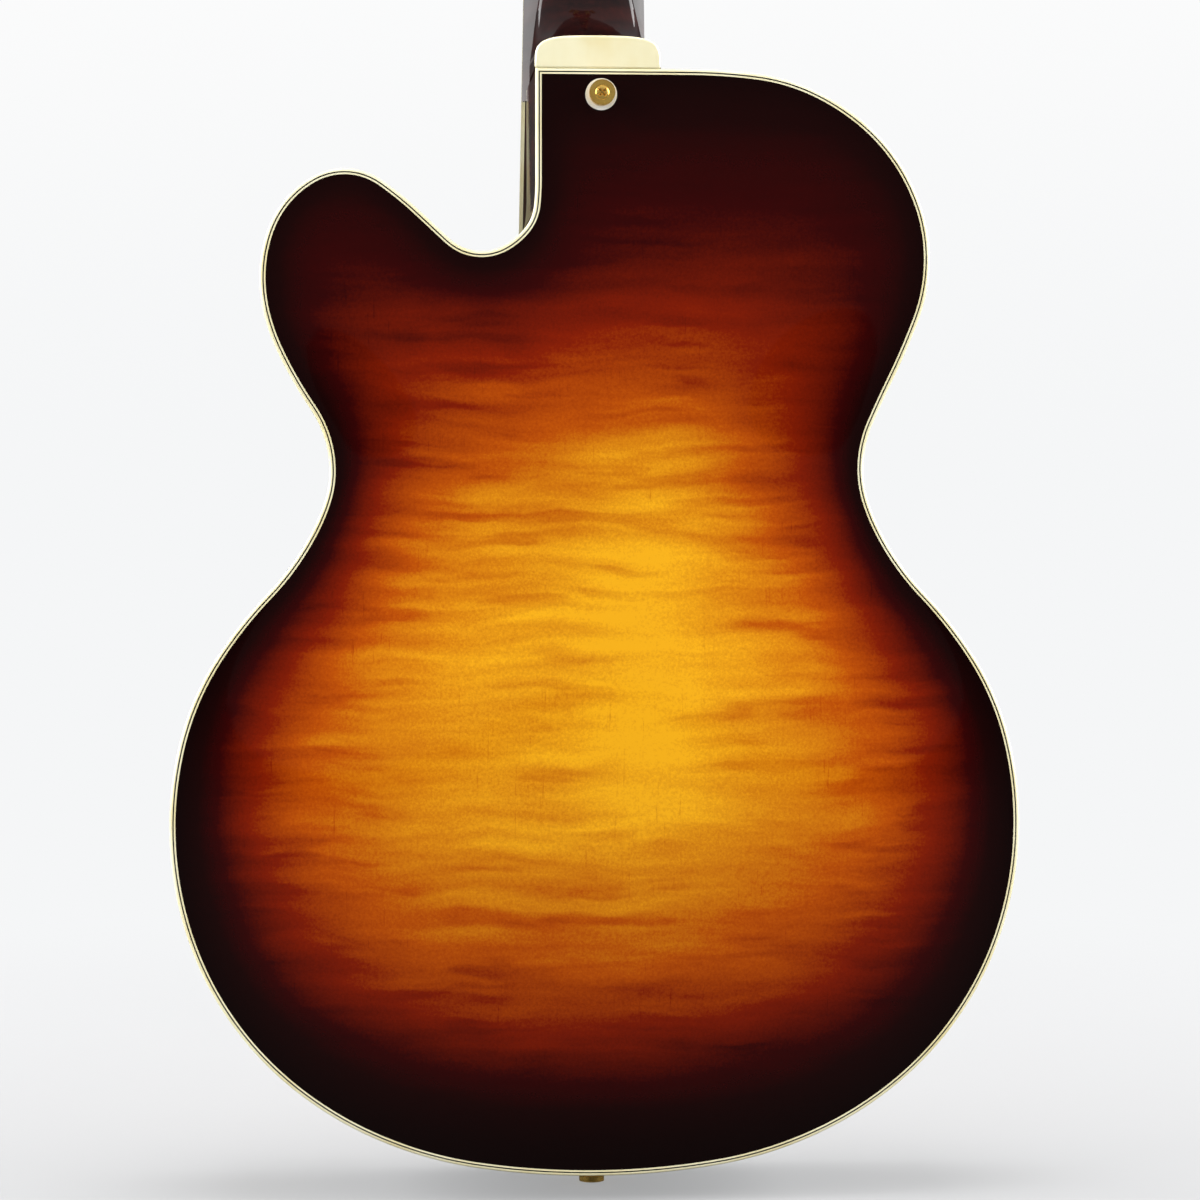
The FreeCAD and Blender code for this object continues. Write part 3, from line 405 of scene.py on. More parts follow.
def pearlInlay(name):
    # pale sheets that swirl into each other
    shade = Shade(name)
    vector = shade.place()
    sway = shade.noise(vector, scale=90)
    x, y, z = shade.axes(vector)
    swirl = shade.join(x * 140 + sway * 5, y * 140, z * 90 + sway * 4)
    sheets = shade.noise(swirl, detail=3, rough=0.6)
    colour = shade.ramp(sheets, [(0.25, paint(188, 190, 178)), (0.42, paint(232, 230, 218)),
                                 (0.55, paint(206, 214, 208)), (0.72, paint(246, 240, 226))])
    return shade.done(Base_Color=colour, Roughness=0.2, Coat_Weight=0.7, Coat_Roughness=0.05)


def woundWire(name, pitch=0.42 * mm):
    # turns of wrap wire up the string, with painted shade in the groove between turns
    shade = Shade(name)
    x, y, z = shade.axes(shade.place())
    turn = (z * (2 * math.pi / pitch)).calc("SINE") * 0.5 + 0.5
    # painted shade: the darker colour sits in the groove between turns
    colour = shade.mix(turn, paint(92, 84, 74), paint(190, 182, 168))
    return shade.done(Base_Color=colour, Metallic=1.0, Roughness=0.3 + turn * 0.1,
                      Normal=shade.bump(turn, 0.2 * mm, 0.5))


finishes = {
    "figured_maple": sunburst("sunburst maple back", True),
    "top_wood": sunburst("sunburst top", False),
    "rim_wood": darkLacquer("dark rim lacquer", paint(20, 6, 5), paint(58, 20, 10)),
    "neck_wood": darkLacquer("dark neck lacquer", paint(20, 7, 7), paint(48, 16, 13)),
    "bare_wood": bareWood("bare inside wood"),
    "cream_celluloid": creamCelluloid("cream celluloid", False),
    "lined_binding": creamCelluloid("lined binding", True),
    "black_veneer": gloss("black veneer", paint(9, 8, 8), paint(17, 15, 15), 0.08),
    "fretboard_wood": oiledWood("dark fretboard", paint(38, 22, 17), paint(66, 40, 28), paint(12, 7, 6)),
    "bridge_wood": oiledWood("dark bridge wood", paint(30, 19, 16), paint(54, 34, 25), paint(10, 7, 6)),
    "pearloid": pearlInlay("pearly inlay"),
    "nickel_silver": plated("fret wire", paint(214, 208, 192), paint(188, 180, 160), 0.16),
    "nut_white": gloss("bone nut", paint(236, 228, 204), paint(222, 208, 176), 0.3),
    "plain_steel": plated("plain steel", paint(190, 190, 188), paint(160, 158, 154), 0.28),
    "black_plastic": gloss("black plastic", paint(10, 10, 11), paint(20, 19, 19), 0.1),
    "gold_plate": plated("gold plate", paint(248, 204, 104), paint(222, 166, 70), 0.18, 0.74),
    "string_steel": plated("plain string", paint(206, 204, 198), paint(176, 172, 162), 0.2),
    "string_wrap": woundWire("wound string"),
    "pickup_cover": plated("pickup cover", paint(246, 206, 112), paint(222, 172, 82), 0.16, 0.86),
    "knob_gold": gloss("amber knob", paint(176, 112, 34), paint(208, 146, 54), 0.1),
    "pale_nylon": gloss("pale washer", paint(228, 228, 222), paint(208, 206, 196), 0.4),
}
print("finishes made:", len(finishes))

# angles in degrees, lengths in metres
smooth = {"weld": 2e-6, "sliver": 1e-6, "flat": 0.5, "crease": 32, "turned": 40, "binding": 50, "string": 80,
          "bevelFrom": 40, "bevelSteps": 2}
covered = set()


@contextmanager
def editing(mesh):
    work = bmesh.new()
    work.from_mesh(mesh)
    yield work
    work.to_mesh(mesh)
    work.free()


def store(mesh, name, values, kind="FLOAT", field="value"):
    # keeps one value for each point
    kept = mesh.attributes.new(name, kind, "POINT")
    kept.data.foreach_set(field, np.array(values, np.float32).ravel())


def holder(name, data):
    thing = bpy.data.objects.new(name, data)
    bpy.context.scene.collection.objects.link(thing)
    return thing


def addPiece(name, mesh, body, slot, replaced=(), finish=None):
    piece = holder(name, mesh)
    mesh.materials.clear()
    mesh.materials.append(finishes[finish or slot])
    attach(piece, body)
    if replaced:
        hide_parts(*replaced)
    covered.update(replaced)
    return piece


def creaseEdges(work, limit):
    # smooth faces, with sharp edges where two faces meet at more than limit degrees
    for face in work.faces:
        face.smooth = True
    for edge in work.edges:
        edge.smooth = len(edge.link_faces) == 2 and edge.calc_face_angle() < math.radians(limit)


def softenEdges(mesh, limit, flatten=False):
    # joins loose faces, merges flat ones if asked, then creases
    with editing(mesh) as work:
        bmesh.ops.remove_doubles(work, verts=work.verts, dist=smooth["weld"])
        bmesh.ops.dissolve_degenerate(work, edges=work.edges, dist=smooth["sliver"])
        if flatten:
            bmesh.ops.dissolve_limit(work, angle_limit=math.radians(smooth["flat"]), verts=work.verts,
                                     edges=work.edges)
        creaseEdges(work, limit)


def roundEdges(piece, size):
    bevel = piece.modifiers.new("round", "BEVEL")
    bevel.width = size * mm
    bevel.segments = smooth["bevelSteps"]
    bevel.limit_method = "ANGLE"
    bevel.angle_limit = math.radians(smooth["bevelFrom"])


def runTree(piece, tree, values):
    # sets the inputs by their identifiers, then keeps the result's mesh alone
    grow = piece.modifiers.new("grow", "NODES")
    grow.node_group = tree
    names = {item.name: item.identifier for item in tree.interface.items_tree if item.in_out == "INPUT"}
    for key, value in values.items():
        grow[names[key]] = value
    bpy.context.view_layer.update()
    mesh = bpy.data.meshes.new_from_object(piece.evaluated_get(bpy.context.evaluated_depsgraph_get()))
    bpy.data.objects.remove(piece)
    return mesh


def band(lower, upper, count):
    # faces between two rings of points, from the first point of each
    return [(lower + at, upper + at, upper + (at + 1) % count, lower + (at + 1) % count)
            for at in range(count)]


shell = {
    # x, z in mm and heading in degrees at each end of the arcs round the body
    "arcs": [
        (-39.88, 491.20, 180.00), (-69.32, 489.44, -173.18), (-97.20, 481.08, -153.41),
        (-115.65, 469.14, -140.76), (-130.59, 453.12, -125.27), (-141.10, 432.74, -109.27),
        (-145.06, 410.22, -90.69), (-140.13, 382.51, -69.12), (-128.74, 356.24, -64.00),
        (-120.12, 337.48, -66.66), (-116.12, 317.68, -90.51), (-118.16, 304.55, -107.16),
        (-123.17, 292.13, -116.79), (-143.31, 263.71, -133.84), (-165.09, 236.22, -122.97),
        (-180.89, 200.00, -104.15), (-185.50, 160.55, -89.18), (-178.42, 116.53, -72.54),
        (-158.60, 76.68, -54.59), (-132.82, 48.96, -39.56), (-100.91, 28.48, -25.82), (-51.76, 13.17, -8.77),
        (0.00, 9.20, 0.00), (51.76, 13.17, 8.77), (100.91, 28.48, 25.83), (132.82, 48.96, 39.57),
        (158.60, 76.68, 54.58), (178.43, 116.53, 72.53), (185.50, 160.55, 89.21), (180.88, 199.99, 104.16),
        (165.09, 236.22, 122.92), (143.35, 263.73, 133.75), (123.17, 292.13, 117.02),
        (118.08, 304.54, 107.61), (116.12, 317.68, 89.33), (124.38, 343.91, 55.74), (138.57, 368.77, 64.82),
        (144.30, 385.23, 76.76), (145.99, 402.51, 92.08), (142.40, 421.00, 109.87), (132.45, 436.73, 134.78),
        (123.11, 443.85, 150.66), (112.04, 447.34, 174.30), (93.24, 442.46, -145.22),
        (77.17, 429.50, -137.03), (64.24, 417.51, -137.25), (48.97, 412.15, 175.90), (39.55, 415.21, 148.12),
        (31.91, 421.79, 130.42), (27.61, 431.72, 96.33), (26.99, 443.00, 90.00),
    ],
    "neckEnd": 491.2, "edge": 43.0, "binding": 2.6, "wall": 4.5,
    "backCrown": 21.9, "topCrown": 21.0, "reach": 90.0, "leastEdge": 0.01,
    # mm between points along the outline, insets of the rings inside it, then the grid inside those
    "step": 2.5, "rings": (4.2, 6.4, 9.2, 12.6),
    "grid": 4.0, "gridFrom": (-184, 10), "gridTo": (185, 492), "ringGap": 3, "holeGap": 2.5, "weld": 1e-5,
    # treble sound hole
    "soundHole": [
        (63.5, 280.4), (59.3, 282.3), (57.8, 286.6), (60.0, 290.6), (64.4, 291.9), (66.7, 295.9),
        (70.7, 298.2), (75.4, 298.2), (79.7, 296.5), (83.1, 293.4), (85.0, 289.1), (85.8, 284.5),
        (85.9, 279.8), (85.9, 275.1), (85.7, 270.4), (85.5, 265.7), (85.2, 261.0), (84.9, 256.3),
        (84.8, 251.6), (84.7, 246.9), (84.6, 242.2), (84.5, 237.6), (84.4, 232.9), (84.1, 228.2),
        (83.7, 223.5), (83.2, 218.8), (82.5, 214.2), (81.8, 209.5), (81.5, 204.9), (82.0, 200.2),
        (83.7, 195.9), (87.4, 193.3), (90.9, 194.8), (89.7, 199.3), (91.6, 203.5), (95.7, 205.6),
        (100.2, 204.6), (103.0, 201.0), (102.9, 196.4), (100.0, 192.9), (95.4, 192.0), (92.6, 188.4),
        (88.4, 186.5), (83.8, 186.8), (79.5, 188.8), (76.4, 192.3), (74.8, 196.6), (74.2, 201.3),
        (74.1, 206.0), (74.1, 210.7), (74.3, 215.4), (74.6, 220.1), (74.9, 224.7), (75.1, 229.4),
        (75.2, 234.1), (75.3, 238.8), (75.4, 243.5), (75.5, 248.2), (75.7, 252.9), (76.0, 257.6),
        (76.4, 262.2), (76.9, 266.9), (77.6, 271.6), (78.3, 276.2), (78.5, 280.9), (77.8, 285.5),
        (75.8, 289.7), (71.7, 291.5), (67.3, 290.4), (69.1, 286.6), (67.7, 282.3),
    ],
}


def outline(inset):
    # points of the outline moved inwards, in mm, with the inward direction at each
    points = []
    for (x, z, heading), (endX, endZ, _) in zip(shell["arcs"], shell["arcs"][1:]):
        start = Vector((x, z))
        chord = Vector((endX, endZ)) - start
        along = Vector((math.cos(math.radians(heading)), math.sin(math.radians(heading))))
        half = math.atan2(along.x * chord.y - along.y * chord.x, along.dot(chord))
        steps = max(2, math.ceil(chord.length / shell["step"]))
        for step in range(steps):
            turn = 2 * half * step / steps
            if abs(half) < tiny:
                spot = start + chord * step / steps
            else:
                radius = chord.length / (2 * math.sin(half))
                left = Vector((-along.y, along.x))
                spot = start + along * (radius * math.sin(turn)) + left * (radius * (1 - math.cos(turn)))
            way = Vector((along.x * math.cos(turn) - along.y * math.sin(turn),
                          along.x * math.sin(turn) + along.y * math.cos(turn)))
            inward = Vector((-way.y, way.x))
            points.append((spot + inward * inset, inward))
    lastX, lastZ, _ = shell["arcs"][-1]
    top = shell["neckEnd"] - inset
    side = lastX - inset
    rows = int((shell["neckEnd"] - lastZ) / shell["step"])
    points += [(Vector((side, lastZ + (top - lastZ) * row / rows)), Vector((-1, 0))) for row in range(rows)]
    points.append((Vector((side, top)), Vector((-1, -1))))
    firstX = shell["arcs"][0][0]
    columns = int((lastX - firstX) / shell["step"])
    points += [(Vector((side + (firstX - side) * column / columns, top)), Vector((0, -1)))
               for column in range(1, columns)]
    return points


rimPoints = np.array([point for point, inward in outline(0)])
rimMiddle = (rimPoints + np.roll(rimPoints, -1, 0)) / 2
rimLength = np.linalg.norm(np.roll(rimPoints, -1, 0) - rimPoints, axis=1)


def edgeDistance(points):
    # how far from the edge a point counts as being, in mm: beside a straight edge it is the distance
    away = np.asarray(points)[:, None, :] - rimMiddle[None, :, :]
    total = (rimLength[None, :] / np.maximum((away ** 2).sum(2), tiny) ** 1.5).sum(1)
    return np.sqrt(2 / total)


def insideOf(points, loop):
    points, loop = np.asarray(points), np.asarray(loop)
    result = np.zeros(len(points), bool)
    for (x1, z1), (x2, z2) in zip(loop, np.roll(loop, -1, 0)):
        if z1 != z2:
            cross = ((z1 > points[:, 1]) != (z2 > points[:, 1]))
            result ^= cross & (points[:, 0] < (x2 - x1) * (points[:, 1] - z1) / (z2 - z1) + x1)
    return result


def plateTree():
    # raises a flat plate to its arch from the edge distance stored on its points
    grow = Grow("arch plate", {"Plate": "Geometry", "Crown": "Float", "Reach": "Float", "Finish": "Material"})
    share = grow.stored("edgeDistance") / grow.given("Reach")
    rise = (1 - (share * share * -1).calc("EXPONENT")) * grow.given("Crown")
    return grow.finish(grow.moved(grow.given("Plate"), grow.join(0, rise, 0)))


def gridSpots(loop, holes):
    # an even grid inside the loop, clear of the rings and of the holes
    columns, rows = [np.arange(low, high, shell["grid"])
                     for low, high in zip(shell["gridFrom"], shell["gridTo"])]
    grid = np.array([(x, z) for x in columns for z in rows])
    grid = grid[insideOf(grid, loop)]
    grid = grid[edgeDistance(grid) > shell["rings"][-1] + shell["ringGap"]]
    for hole in holes:
        near = ((grid[:, None, :] - np.array(hole)[None, :, :]) ** 2).sum(2).min(1)
        grid = grid[near > shell["holeGap"] ** 2]
    return [tuple(point) for point in grid]


def flatPlate(name, side, holes):
    # the plate before it is arched, with the edge distance stored on its points
    loop = [tuple(point) for point, inward in outline(shell["binding"])]
    spots, edges = [], []
    for ring in [loop] + holes:
        first, count = len(spots), len(ring)
        spots += ring
        edges += [(first + at, first + (at + 1) % count) for at in range(count)]
    for inset in shell["rings"]:
        spots += [tuple(point) for point, inward in outline(inset)]
    spots += gridSpots(loop, holes)
    verts, _, faces, *_ = delaunay_2d_cdt([Vector(spot) for spot in spots], edges, [], 1, shell["weld"])
    flat = np.array([tuple(vert) for vert in verts])
    middles = np.array([flat[list(face)].mean(0) for face in faces])
    kept = insideOf(middles, loop)
    for hole in holes:
        kept &= ~insideOf(middles, hole)
    mesh = bpy.data.meshes.new(name)
    mesh.from_pydata([(x * mm, side * shell["edge"] * mm, z * mm) for x, z in flat], [],
                     [list(face) for face, keepIt in zip(faces, kept) if keepIt])
    store(mesh, "edgeDistance", np.maximum(edgeDistance(flat), shell["leastEdge"]))
    with editing(mesh) as work:
        bmesh.ops.delete(work, geom=[vert for vert in work.verts if not vert.link_faces], context="VERTS")
        for face in work.faces:
            face.smooth = True
            face.normal_update()
            if face.normal.y * side < 0:
                face.normal_flip()
        for edge in work.edges:
            edge.smooth = not edge.is_boundary
    return mesh


def archedPlate(name, side, crown, slot, replaced, holes):
    flat = holder(name + ".flat", flatPlate(name, side, holes))
    raised = runTree(flat, archTree, {"Crown": side * crown * mm, "Reach": shell["reach"],
                                      "Finish": finishes[slot]})
    piece = addPiece(name, raised, "guitar", slot, replaced)
    wall = piece.modifiers.new("wall", "SOLIDIFY")
    wall.thickness = shell["wall"] * mm
    wall.offset = -1
    return piece


def rounded(loop, parts=3):
    # more points on a smooth curve through a loop's points
    here = np.array(loop)
    before, after, beyond = np.roll(here, 1, 0), np.roll(here, -1, 0), np.roll(here, -2, 0)
    first = after - before
    second = 2 * before - 5 * here + 4 * after - beyond
    third = 3 * here - before - 3 * after + beyond
    result = []
    for at in range(len(here)):
        for part in range(parts):
            t = part / parts
            spot = 0.5 * (2 * here[at] + first[at] * t + second[at] * t ** 2 + third[at] * t ** 3)
            result.append(tuple(spot))
    return result


archTree = plateTree()
trebleHole = rounded(shell["soundHole"])
soundHoles = [trebleHole, [(-x, z) for x, z in trebleHole]]
backPlate = archedPlate("arched_back", 1, shell["backCrown"], "figured_maple", ("back_plate",), [])
topPlate = archedPlate("arched_top", -1, shell["topCrown"], "top_wood", ("top_plate",), soundHoles)
print("plates:", len(backPlate.data.polygons), len(topPlate.data.polygons), "faces")

binding = {"round": 1.1, "turns": 6, "gap": 0.03, "flats": (1.6, 2.1), "width": 2.62, "lip": 0.02}


def bindingStrip(name, side, replaced):
    # rounded cream strip round the plate's edge, its lines kept as a distance across it
    radius, edge = binding["round"], shell["edge"]
    foot = edge - shell["wall"]
    profile = [(binding["gap"], foot)]
    for turn in range(binding["turns"] + 1):
        angle = math.radians(90 * turn / binding["turns"])
        profile.append((binding["gap"] + radius - radius * math.cos(angle),
                        edge - radius + radius * math.sin(angle)))
    profile += [(flat, edge) for flat in binding["flats"]]
    profile += [(binding["width"], edge + binding["lip"]), (binding["width"], foot)]
    verts, faces = [], []
    for inset, height in profile:
        verts += [(point.x * mm, side * height * mm, point.y * mm) for point, inward in outline(inset)]
    rows = len(profile)
    count = len(verts) // rows
    for row in range(rows):
        faces += band(row * count, (row + 1) % rows * count, count)
    mesh = bpy.data.meshes.new(name)
    mesh.from_pydata(verts, [], faces)
    store(mesh, "across", np.repeat([inset for inset, height in profile], count))
    with editing(mesh) as work:
        bmesh.ops.recalc_face_normals(work, faces=work.faces)
        creaseEdges(work, smooth["binding"])
    return addPiece(name, mesh, "guitar", "cream_celluloid", replaced, "lined_binding")


bindingStrip("back_lined_binding", 1, ("back_binding",))
bindingStrip("top_lined_binding", -1, ("top_binding",))
print("bindings swept")

cap = {"half": 27.3, "height": 14.1, "square": 4.4, "dome": 0.035, "low": 491.2, "face": 43.0, "depth": 2.5,
       "round": 0.8, "steps": 60}


def heelCap():
    # cream plate with full shoulders and a gently domed top
    rim = []
    for step in range(cap["steps"] + 1):
        angle = math.pi * step / cap["steps"]
        across = math.copysign(abs(math.cos(angle)) ** (2 / cap["square"]), math.cos(angle))
        rise = math.sin(angle) ** (2 / cap["square"]) if 0 < step < cap["steps"] else 0
        height = cap["height"] * rise * (1 - cap["dome"] * across ** 2)
        rim.append((cap["half"] * across, cap["low"] + height))
    mesh = bpy.data.meshes.new("domed_heel_cap")
    seam = (cap["face"] - cap["depth"]) * mm
    with editing(mesh) as work:
        face = work.faces.new([work.verts.new((x * mm, seam, z * mm)) for x, z in rim])
        pulled = bmesh.ops.extrude_face_region(work, geom=[face])["geom"]
        bmesh.ops.translate(work, vec=(0, cap["depth"] * mm, 0),
                            verts=[item for item in pulled if isinstance(item, bmesh.types.BMVert)])
        bmesh.ops.recalc_face_normals(work, faces=work.faces)
    softenEdges(mesh, smooth["crease"])
    piece = addPiece("domed_heel_cap", mesh, "guitar", "cream_celluloid", ("heel_cap",))
    roundEdges(piece, cap["round"])


heelCap()
print("heel cap cut")


def lathe(name, rows, closed=False, steps=72):
    # turns rows of (radius, along, grip) round the Z axis, in mm
    verts, faces, grips, rings = [], [], [], []
    for radius, along, grip in rows:
        count = steps if radius else 1
        rings.append(range(len(verts), len(verts) + count))
        for step in range(count):
            angle = 2 * math.pi * step / steps
            verts.append((radius * math.cos(angle) * mm, radius * math.sin(angle) * mm, along * mm))
            grips.append(grip)
    pairs = list(zip(rings, rings[1:])) + ([(rings[-1], rings[0])] if closed else [])
    for lower, upper in pairs:
        for step in range(steps):
            after = (step + 1) % steps
            corners = [lower[step % len(lower)], lower[after % len(lower)],
                       upper[after % len(upper)], upper[step % len(upper)]]
            faces.append(list(dict.fromkeys(corners)))
    mesh = bpy.data.meshes.new(name)
    mesh.from_pydata(verts, [], faces)
    store(mesh, "grip", grips)
    return mesh


def standing(mesh, origin, axis):
    # moves a turned mesh so that its Z axis points along axis from origin (mm)
    turn = Vector((0, 0, 1)).rotation_difference(Vector(axis)).to_matrix().to_4x4()
    mesh.transform(Matrix.Translation(Vector(origin) * mm) @ turn)
    with editing(mesh) as work:
        bmesh.ops.recalc_face_normals(work, faces=work.faces)
    return mesh


def fluteTree():
    # presses ridges into the gripped part of a turned shape
    grow = Grow("flute round", {"Shape": "Geometry", "Centre": "Vector", "Count": "Float", "Depth": "Float",
                                "Finish": "Material"})
    spot = grow.node("GeometryNodeInputPosition")
    x, y, z = grow.axes(grow.node("ShaderNodeVectorMath", {"operation": "SUBTRACT"},
                                  {0: spot, 1: grow.given("Centre")}))
    wave = (z.calc("ARCTAN2", x) * grow.given("Count")).calc("COSINE") * 0.5 - 0.5
    push = wave * grow.given("Depth") * grow.stored("grip") / (x * x + z * z).calc("SQRT")
    return grow.finish(grow.moved(grow.given("Shape"), grow.join(x * push, 0, z * push)))


def spreadTree():
    # sets copies of one fitting at places, each with its own facing, size and random turn
    grow = Grow("spread fittings", {"Places": "Geometry", "Fitting": "Object", "Finish": "Material"})
    turn = grow.node("FunctionNodeAlignRotationToVector", {"axis": "Z"},
                     {"Vector": grow.stored("facing", "FLOAT_VECTOR")})
    fitting = grow.node("GeometryNodeObjectInfo", {}, {"Object": grow.given("Fitting")}, "Geometry")
    spread = grow.node("GeometryNodeInstanceOnPoints", {},
                       {"Points": grow.given("Places"), "Instance": fitting, "Rotation": turn,
                        "Scale": grow.stored("size")})
    spin = grow.node("FunctionNodeRandomValue", {"data_type": "FLOAT"}, {2: 0, 3: math.pi, "Seed": 7}, 1)
    return grow.finish(grow.node("GeometryNodeRotateInstances", {},
                                 {"Instances": spread, "Rotation": grow.join(0, 0, spin)}))


flutes, spreads = fluteTree(), spreadTree()
front, rear, below, sideways = (0, -1, 0), (0, 1, 0), (0, 0, -1), (1, 0, 0)
headFront = (0, -0.95882, 0.284015)
headRear = tuple(-value for value in headFront)


def fluted(name, shape, origin, body, slot, replaced, closed=False, perFlute=8):
    turned = lathe(name, shape["rows"], closed, shape["flutes"] * perFlute)
    blank = holder(name, standing(turned, origin, front))
    mesh = runTree(blank, flutes, {"Centre": Vector(origin) * mm, "Count": shape["flutes"],
                                   "Depth": shape["depth"] * mm, "Finish": finishes[slot]})
    softenEdges(mesh, smooth["turned"])
    return addPiece(name, mesh, body, slot, replaced)


def fittings(name, pattern, places, slot, replaced=(), body="guitar"):
    # places are (x, y, z, facing, size), in mm
    mesh = bpy.data.meshes.new(name + ".places")
    mesh.from_pydata([Vector(place[:3]) * mm for place in places], [], [])
    store(mesh, "facing", [place[3] for place in places], "FLOAT_VECTOR", "vector")
    store(mesh, "size", [place[4] for place in places])
    source = holder(pattern.name, pattern)
    grown = runTree(holder(mesh.name, mesh), spreads, {"Fitting": source, "Finish": finishes[slot]})
    bpy.data.objects.remove(source)
    grown.name = name
    softenEdges(grown, smooth["turned"])
    return addPiece(name, grown, body, slot, replaced)


# for a head of 1 mm radius
screw = {"rings": 22, "steps": 80, "rise": 0.3, "dome": 0.7, "press": 0.3, "foot": -0.5,
         "crossReach": 0.62, "slotReach": 2, "half": 0.17, "endEase": 0.12, "sideEase": 0.06}


def screwHead(name, cross):
    # domed head with a slot or a cross pressed into it
    rings, steps = screw["rings"], screw["steps"]
    radius = np.linspace(0, 1, rings + 1)[1:, None]
    angle = np.linspace(0, 2 * np.pi, steps, endpoint=False)[None, :]
    x, y = radius * np.cos(angle), radius * np.sin(angle)

    def arm(along, across, reach):
        ends = np.clip((reach - np.abs(along)) / screw["endEase"], 0, 1)
        return ends * np.clip((screw["half"] - np.abs(across)) / screw["sideEase"], 0, 1)
    if cross:
        press = np.maximum(arm(x, y, screw["crossReach"]), arm(y, x, screw["crossReach"]))
    else:
        press = arm(x, y, screw["slotReach"])
    height = screw["rise"] * (1 - radius ** 2) ** screw["dome"] - press * screw["press"]
    verts = [(0, 0, 0)] + list(zip(x.ravel(), y.ravel(), height.ravel()))
    foot = len(verts)
    verts += [(edgeX, edgeY, screw["foot"]) for edgeX, edgeY in zip(x[-1], y[-1])]
    faces = [(0, 1 + step, 1 + (step + 1) % steps) for step in range(steps)]
    for ring in range(rings):
        faces += band(1 + ring * steps, 1 + (ring + 1) * steps, steps)
    faces.append([foot + step for step in reversed(range(steps))])
    mesh = bpy.data.meshes.new(name)
    mesh.from_pydata([(a * mm, b * mm, c * mm) for a, b, c in verts], [], faces)
    return mesh


def seat(name, place, facing, outside=0.3):
    # where a line through place (mm) along facing first meets a CAD node, from outside metres away
    facing = Vector(facing).normalized()
    start = Vector(place) * mm + facing * outside
    hit, spot, normal, _ = nodes[name].ray_cast(start, -facing)
    return (tuple(spot / mm) if hit else tuple(place)) + (tuple(normal if hit else facing),)


knob = {
    "rows": [(0, 0.6, 0), (10.2, 0.3, 0), (10.45, 0.6, 0), (10.45, 1.6, 0), (9.6, 3.0, 0), (9.1, 4.4, 1),
             (8.9, 6, 1), (8.7, 12.4, 1), (8.5, 13.5, 0.6), (8.0, 14.4, 0), (7.3, 14.75, 0), (6.7, 14.5, 0),
             (5.9, 14.2, 0), (0, 14.1, 0)],
    "flutes": 28, "depth": 0.5,
    "dot": [(0, -0.5, 0), (0.95, -0.5, 0), (0.95, 0.1, 0), (0.75, 0.28, 0), (0.4, 0.36, 0), (0, 0.38, 0)],
    "dotSteps": 24, "dotRise": 14.15, "dotReach": 4.4,
    "places": {"volume": (112.042, -53.1, 148.98), "tone": (130.035, -48.9, 107.046)},
}
for label, (x, y, z) in knob["places"].items():
    fluted(label + "_fluted_knob", knob, (x, y, z), label + "_control", "knob_gold", (label + "_knob",))
    fittings(label + "_pointer_dot", lathe("dot", knob["dot"], steps=knob["dotSteps"]),
             [(x, y - knob["dotRise"], z + knob["dotReach"], front, 1)], "cream_celluloid",
             body=label + "_control")

wheel = {
    "rows": [(2.3, 0.3, 0), (2.6, 0, 0), (7.4, 0, 0), (7.95, 0.45, 1), (7.95, 2.55, 1), (7.4, 3, 0),
             (2.6, 3, 0), (2.3, 2.7, 0)],
    "flutes": 40, "depth": 0.45,
    "places": {"treble": (37, -66.9, 242.443), "bass": (-37, -66.9, 242.443)},
}
for label, place in wheel["places"].items():
    fluted(label + "_knurled_wheel", wheel, place, label + "_wheel", "gold_plate", ("thumbwheel_" + label,),
           True)
print("knobs and wheels turned")

small = {
    # x, y, z and radius of each head in mm, before it is seated on its node
    "ring": [(x, -60, z, 1.9) for x in (-41, 41) for z in (367.9, 404.9)]
    + [(x, -60, 386.4, 1.6) for x in (-39.5, 39.5)],
    "guard": [(49.94, -70, 375.3, 2.1), (74.9, -70, 328.4, 2.1)],
    "cover": [(-6.5, -50, 884, 1.5), (6.5, -50, 884, 1.5), (0, -50, 913, 1.5)],
    "bracket": [(-10, -30, 0, 2.2), (10, -30, 0, 2.2), (-10, 10, 0, 2.2), (10, 10, 0, 2.2)],
    "housings": [(side * 24.5, 30, z, 1.6) for side in (-1, 1) for z in (907.0, 945.3, 983.7)],
    "poles": [(x, -75, 379.5, 2.3) for x in (24.18, 14.51, 4.84, -4.84, -14.51, -24.18)],
    # already in place
    "strap": [(-1.3, 52.4, 479.7, rear, 3.25), (0, 0, -0.8, below, 3.25)],
}


def seated(key, name, facing):
    return [seat(name, spot[:3], facing) + (spot[3],) for spot in small[key]]


fittings("strap_screw_heads", screwHead("cross screw", True), small["strap"], "gold_plate",
         ("strap_screws",))
fittings("small_screws", screwHead("small cross screw", True),
         seated("ring", "pickup_ring", front) + seated("guard", "pickguard", front)
         + seated("cover", "truss_rod_cover", headFront) + seated("bracket", "tailpiece_bracket", below)
         + seated("housings", "tuner_housings", headRear), "gold_plate")
fittings("pole_screws", screwHead("slotted screw", False), seated("poles", "neck_pickup", front),
         "gold_plate")

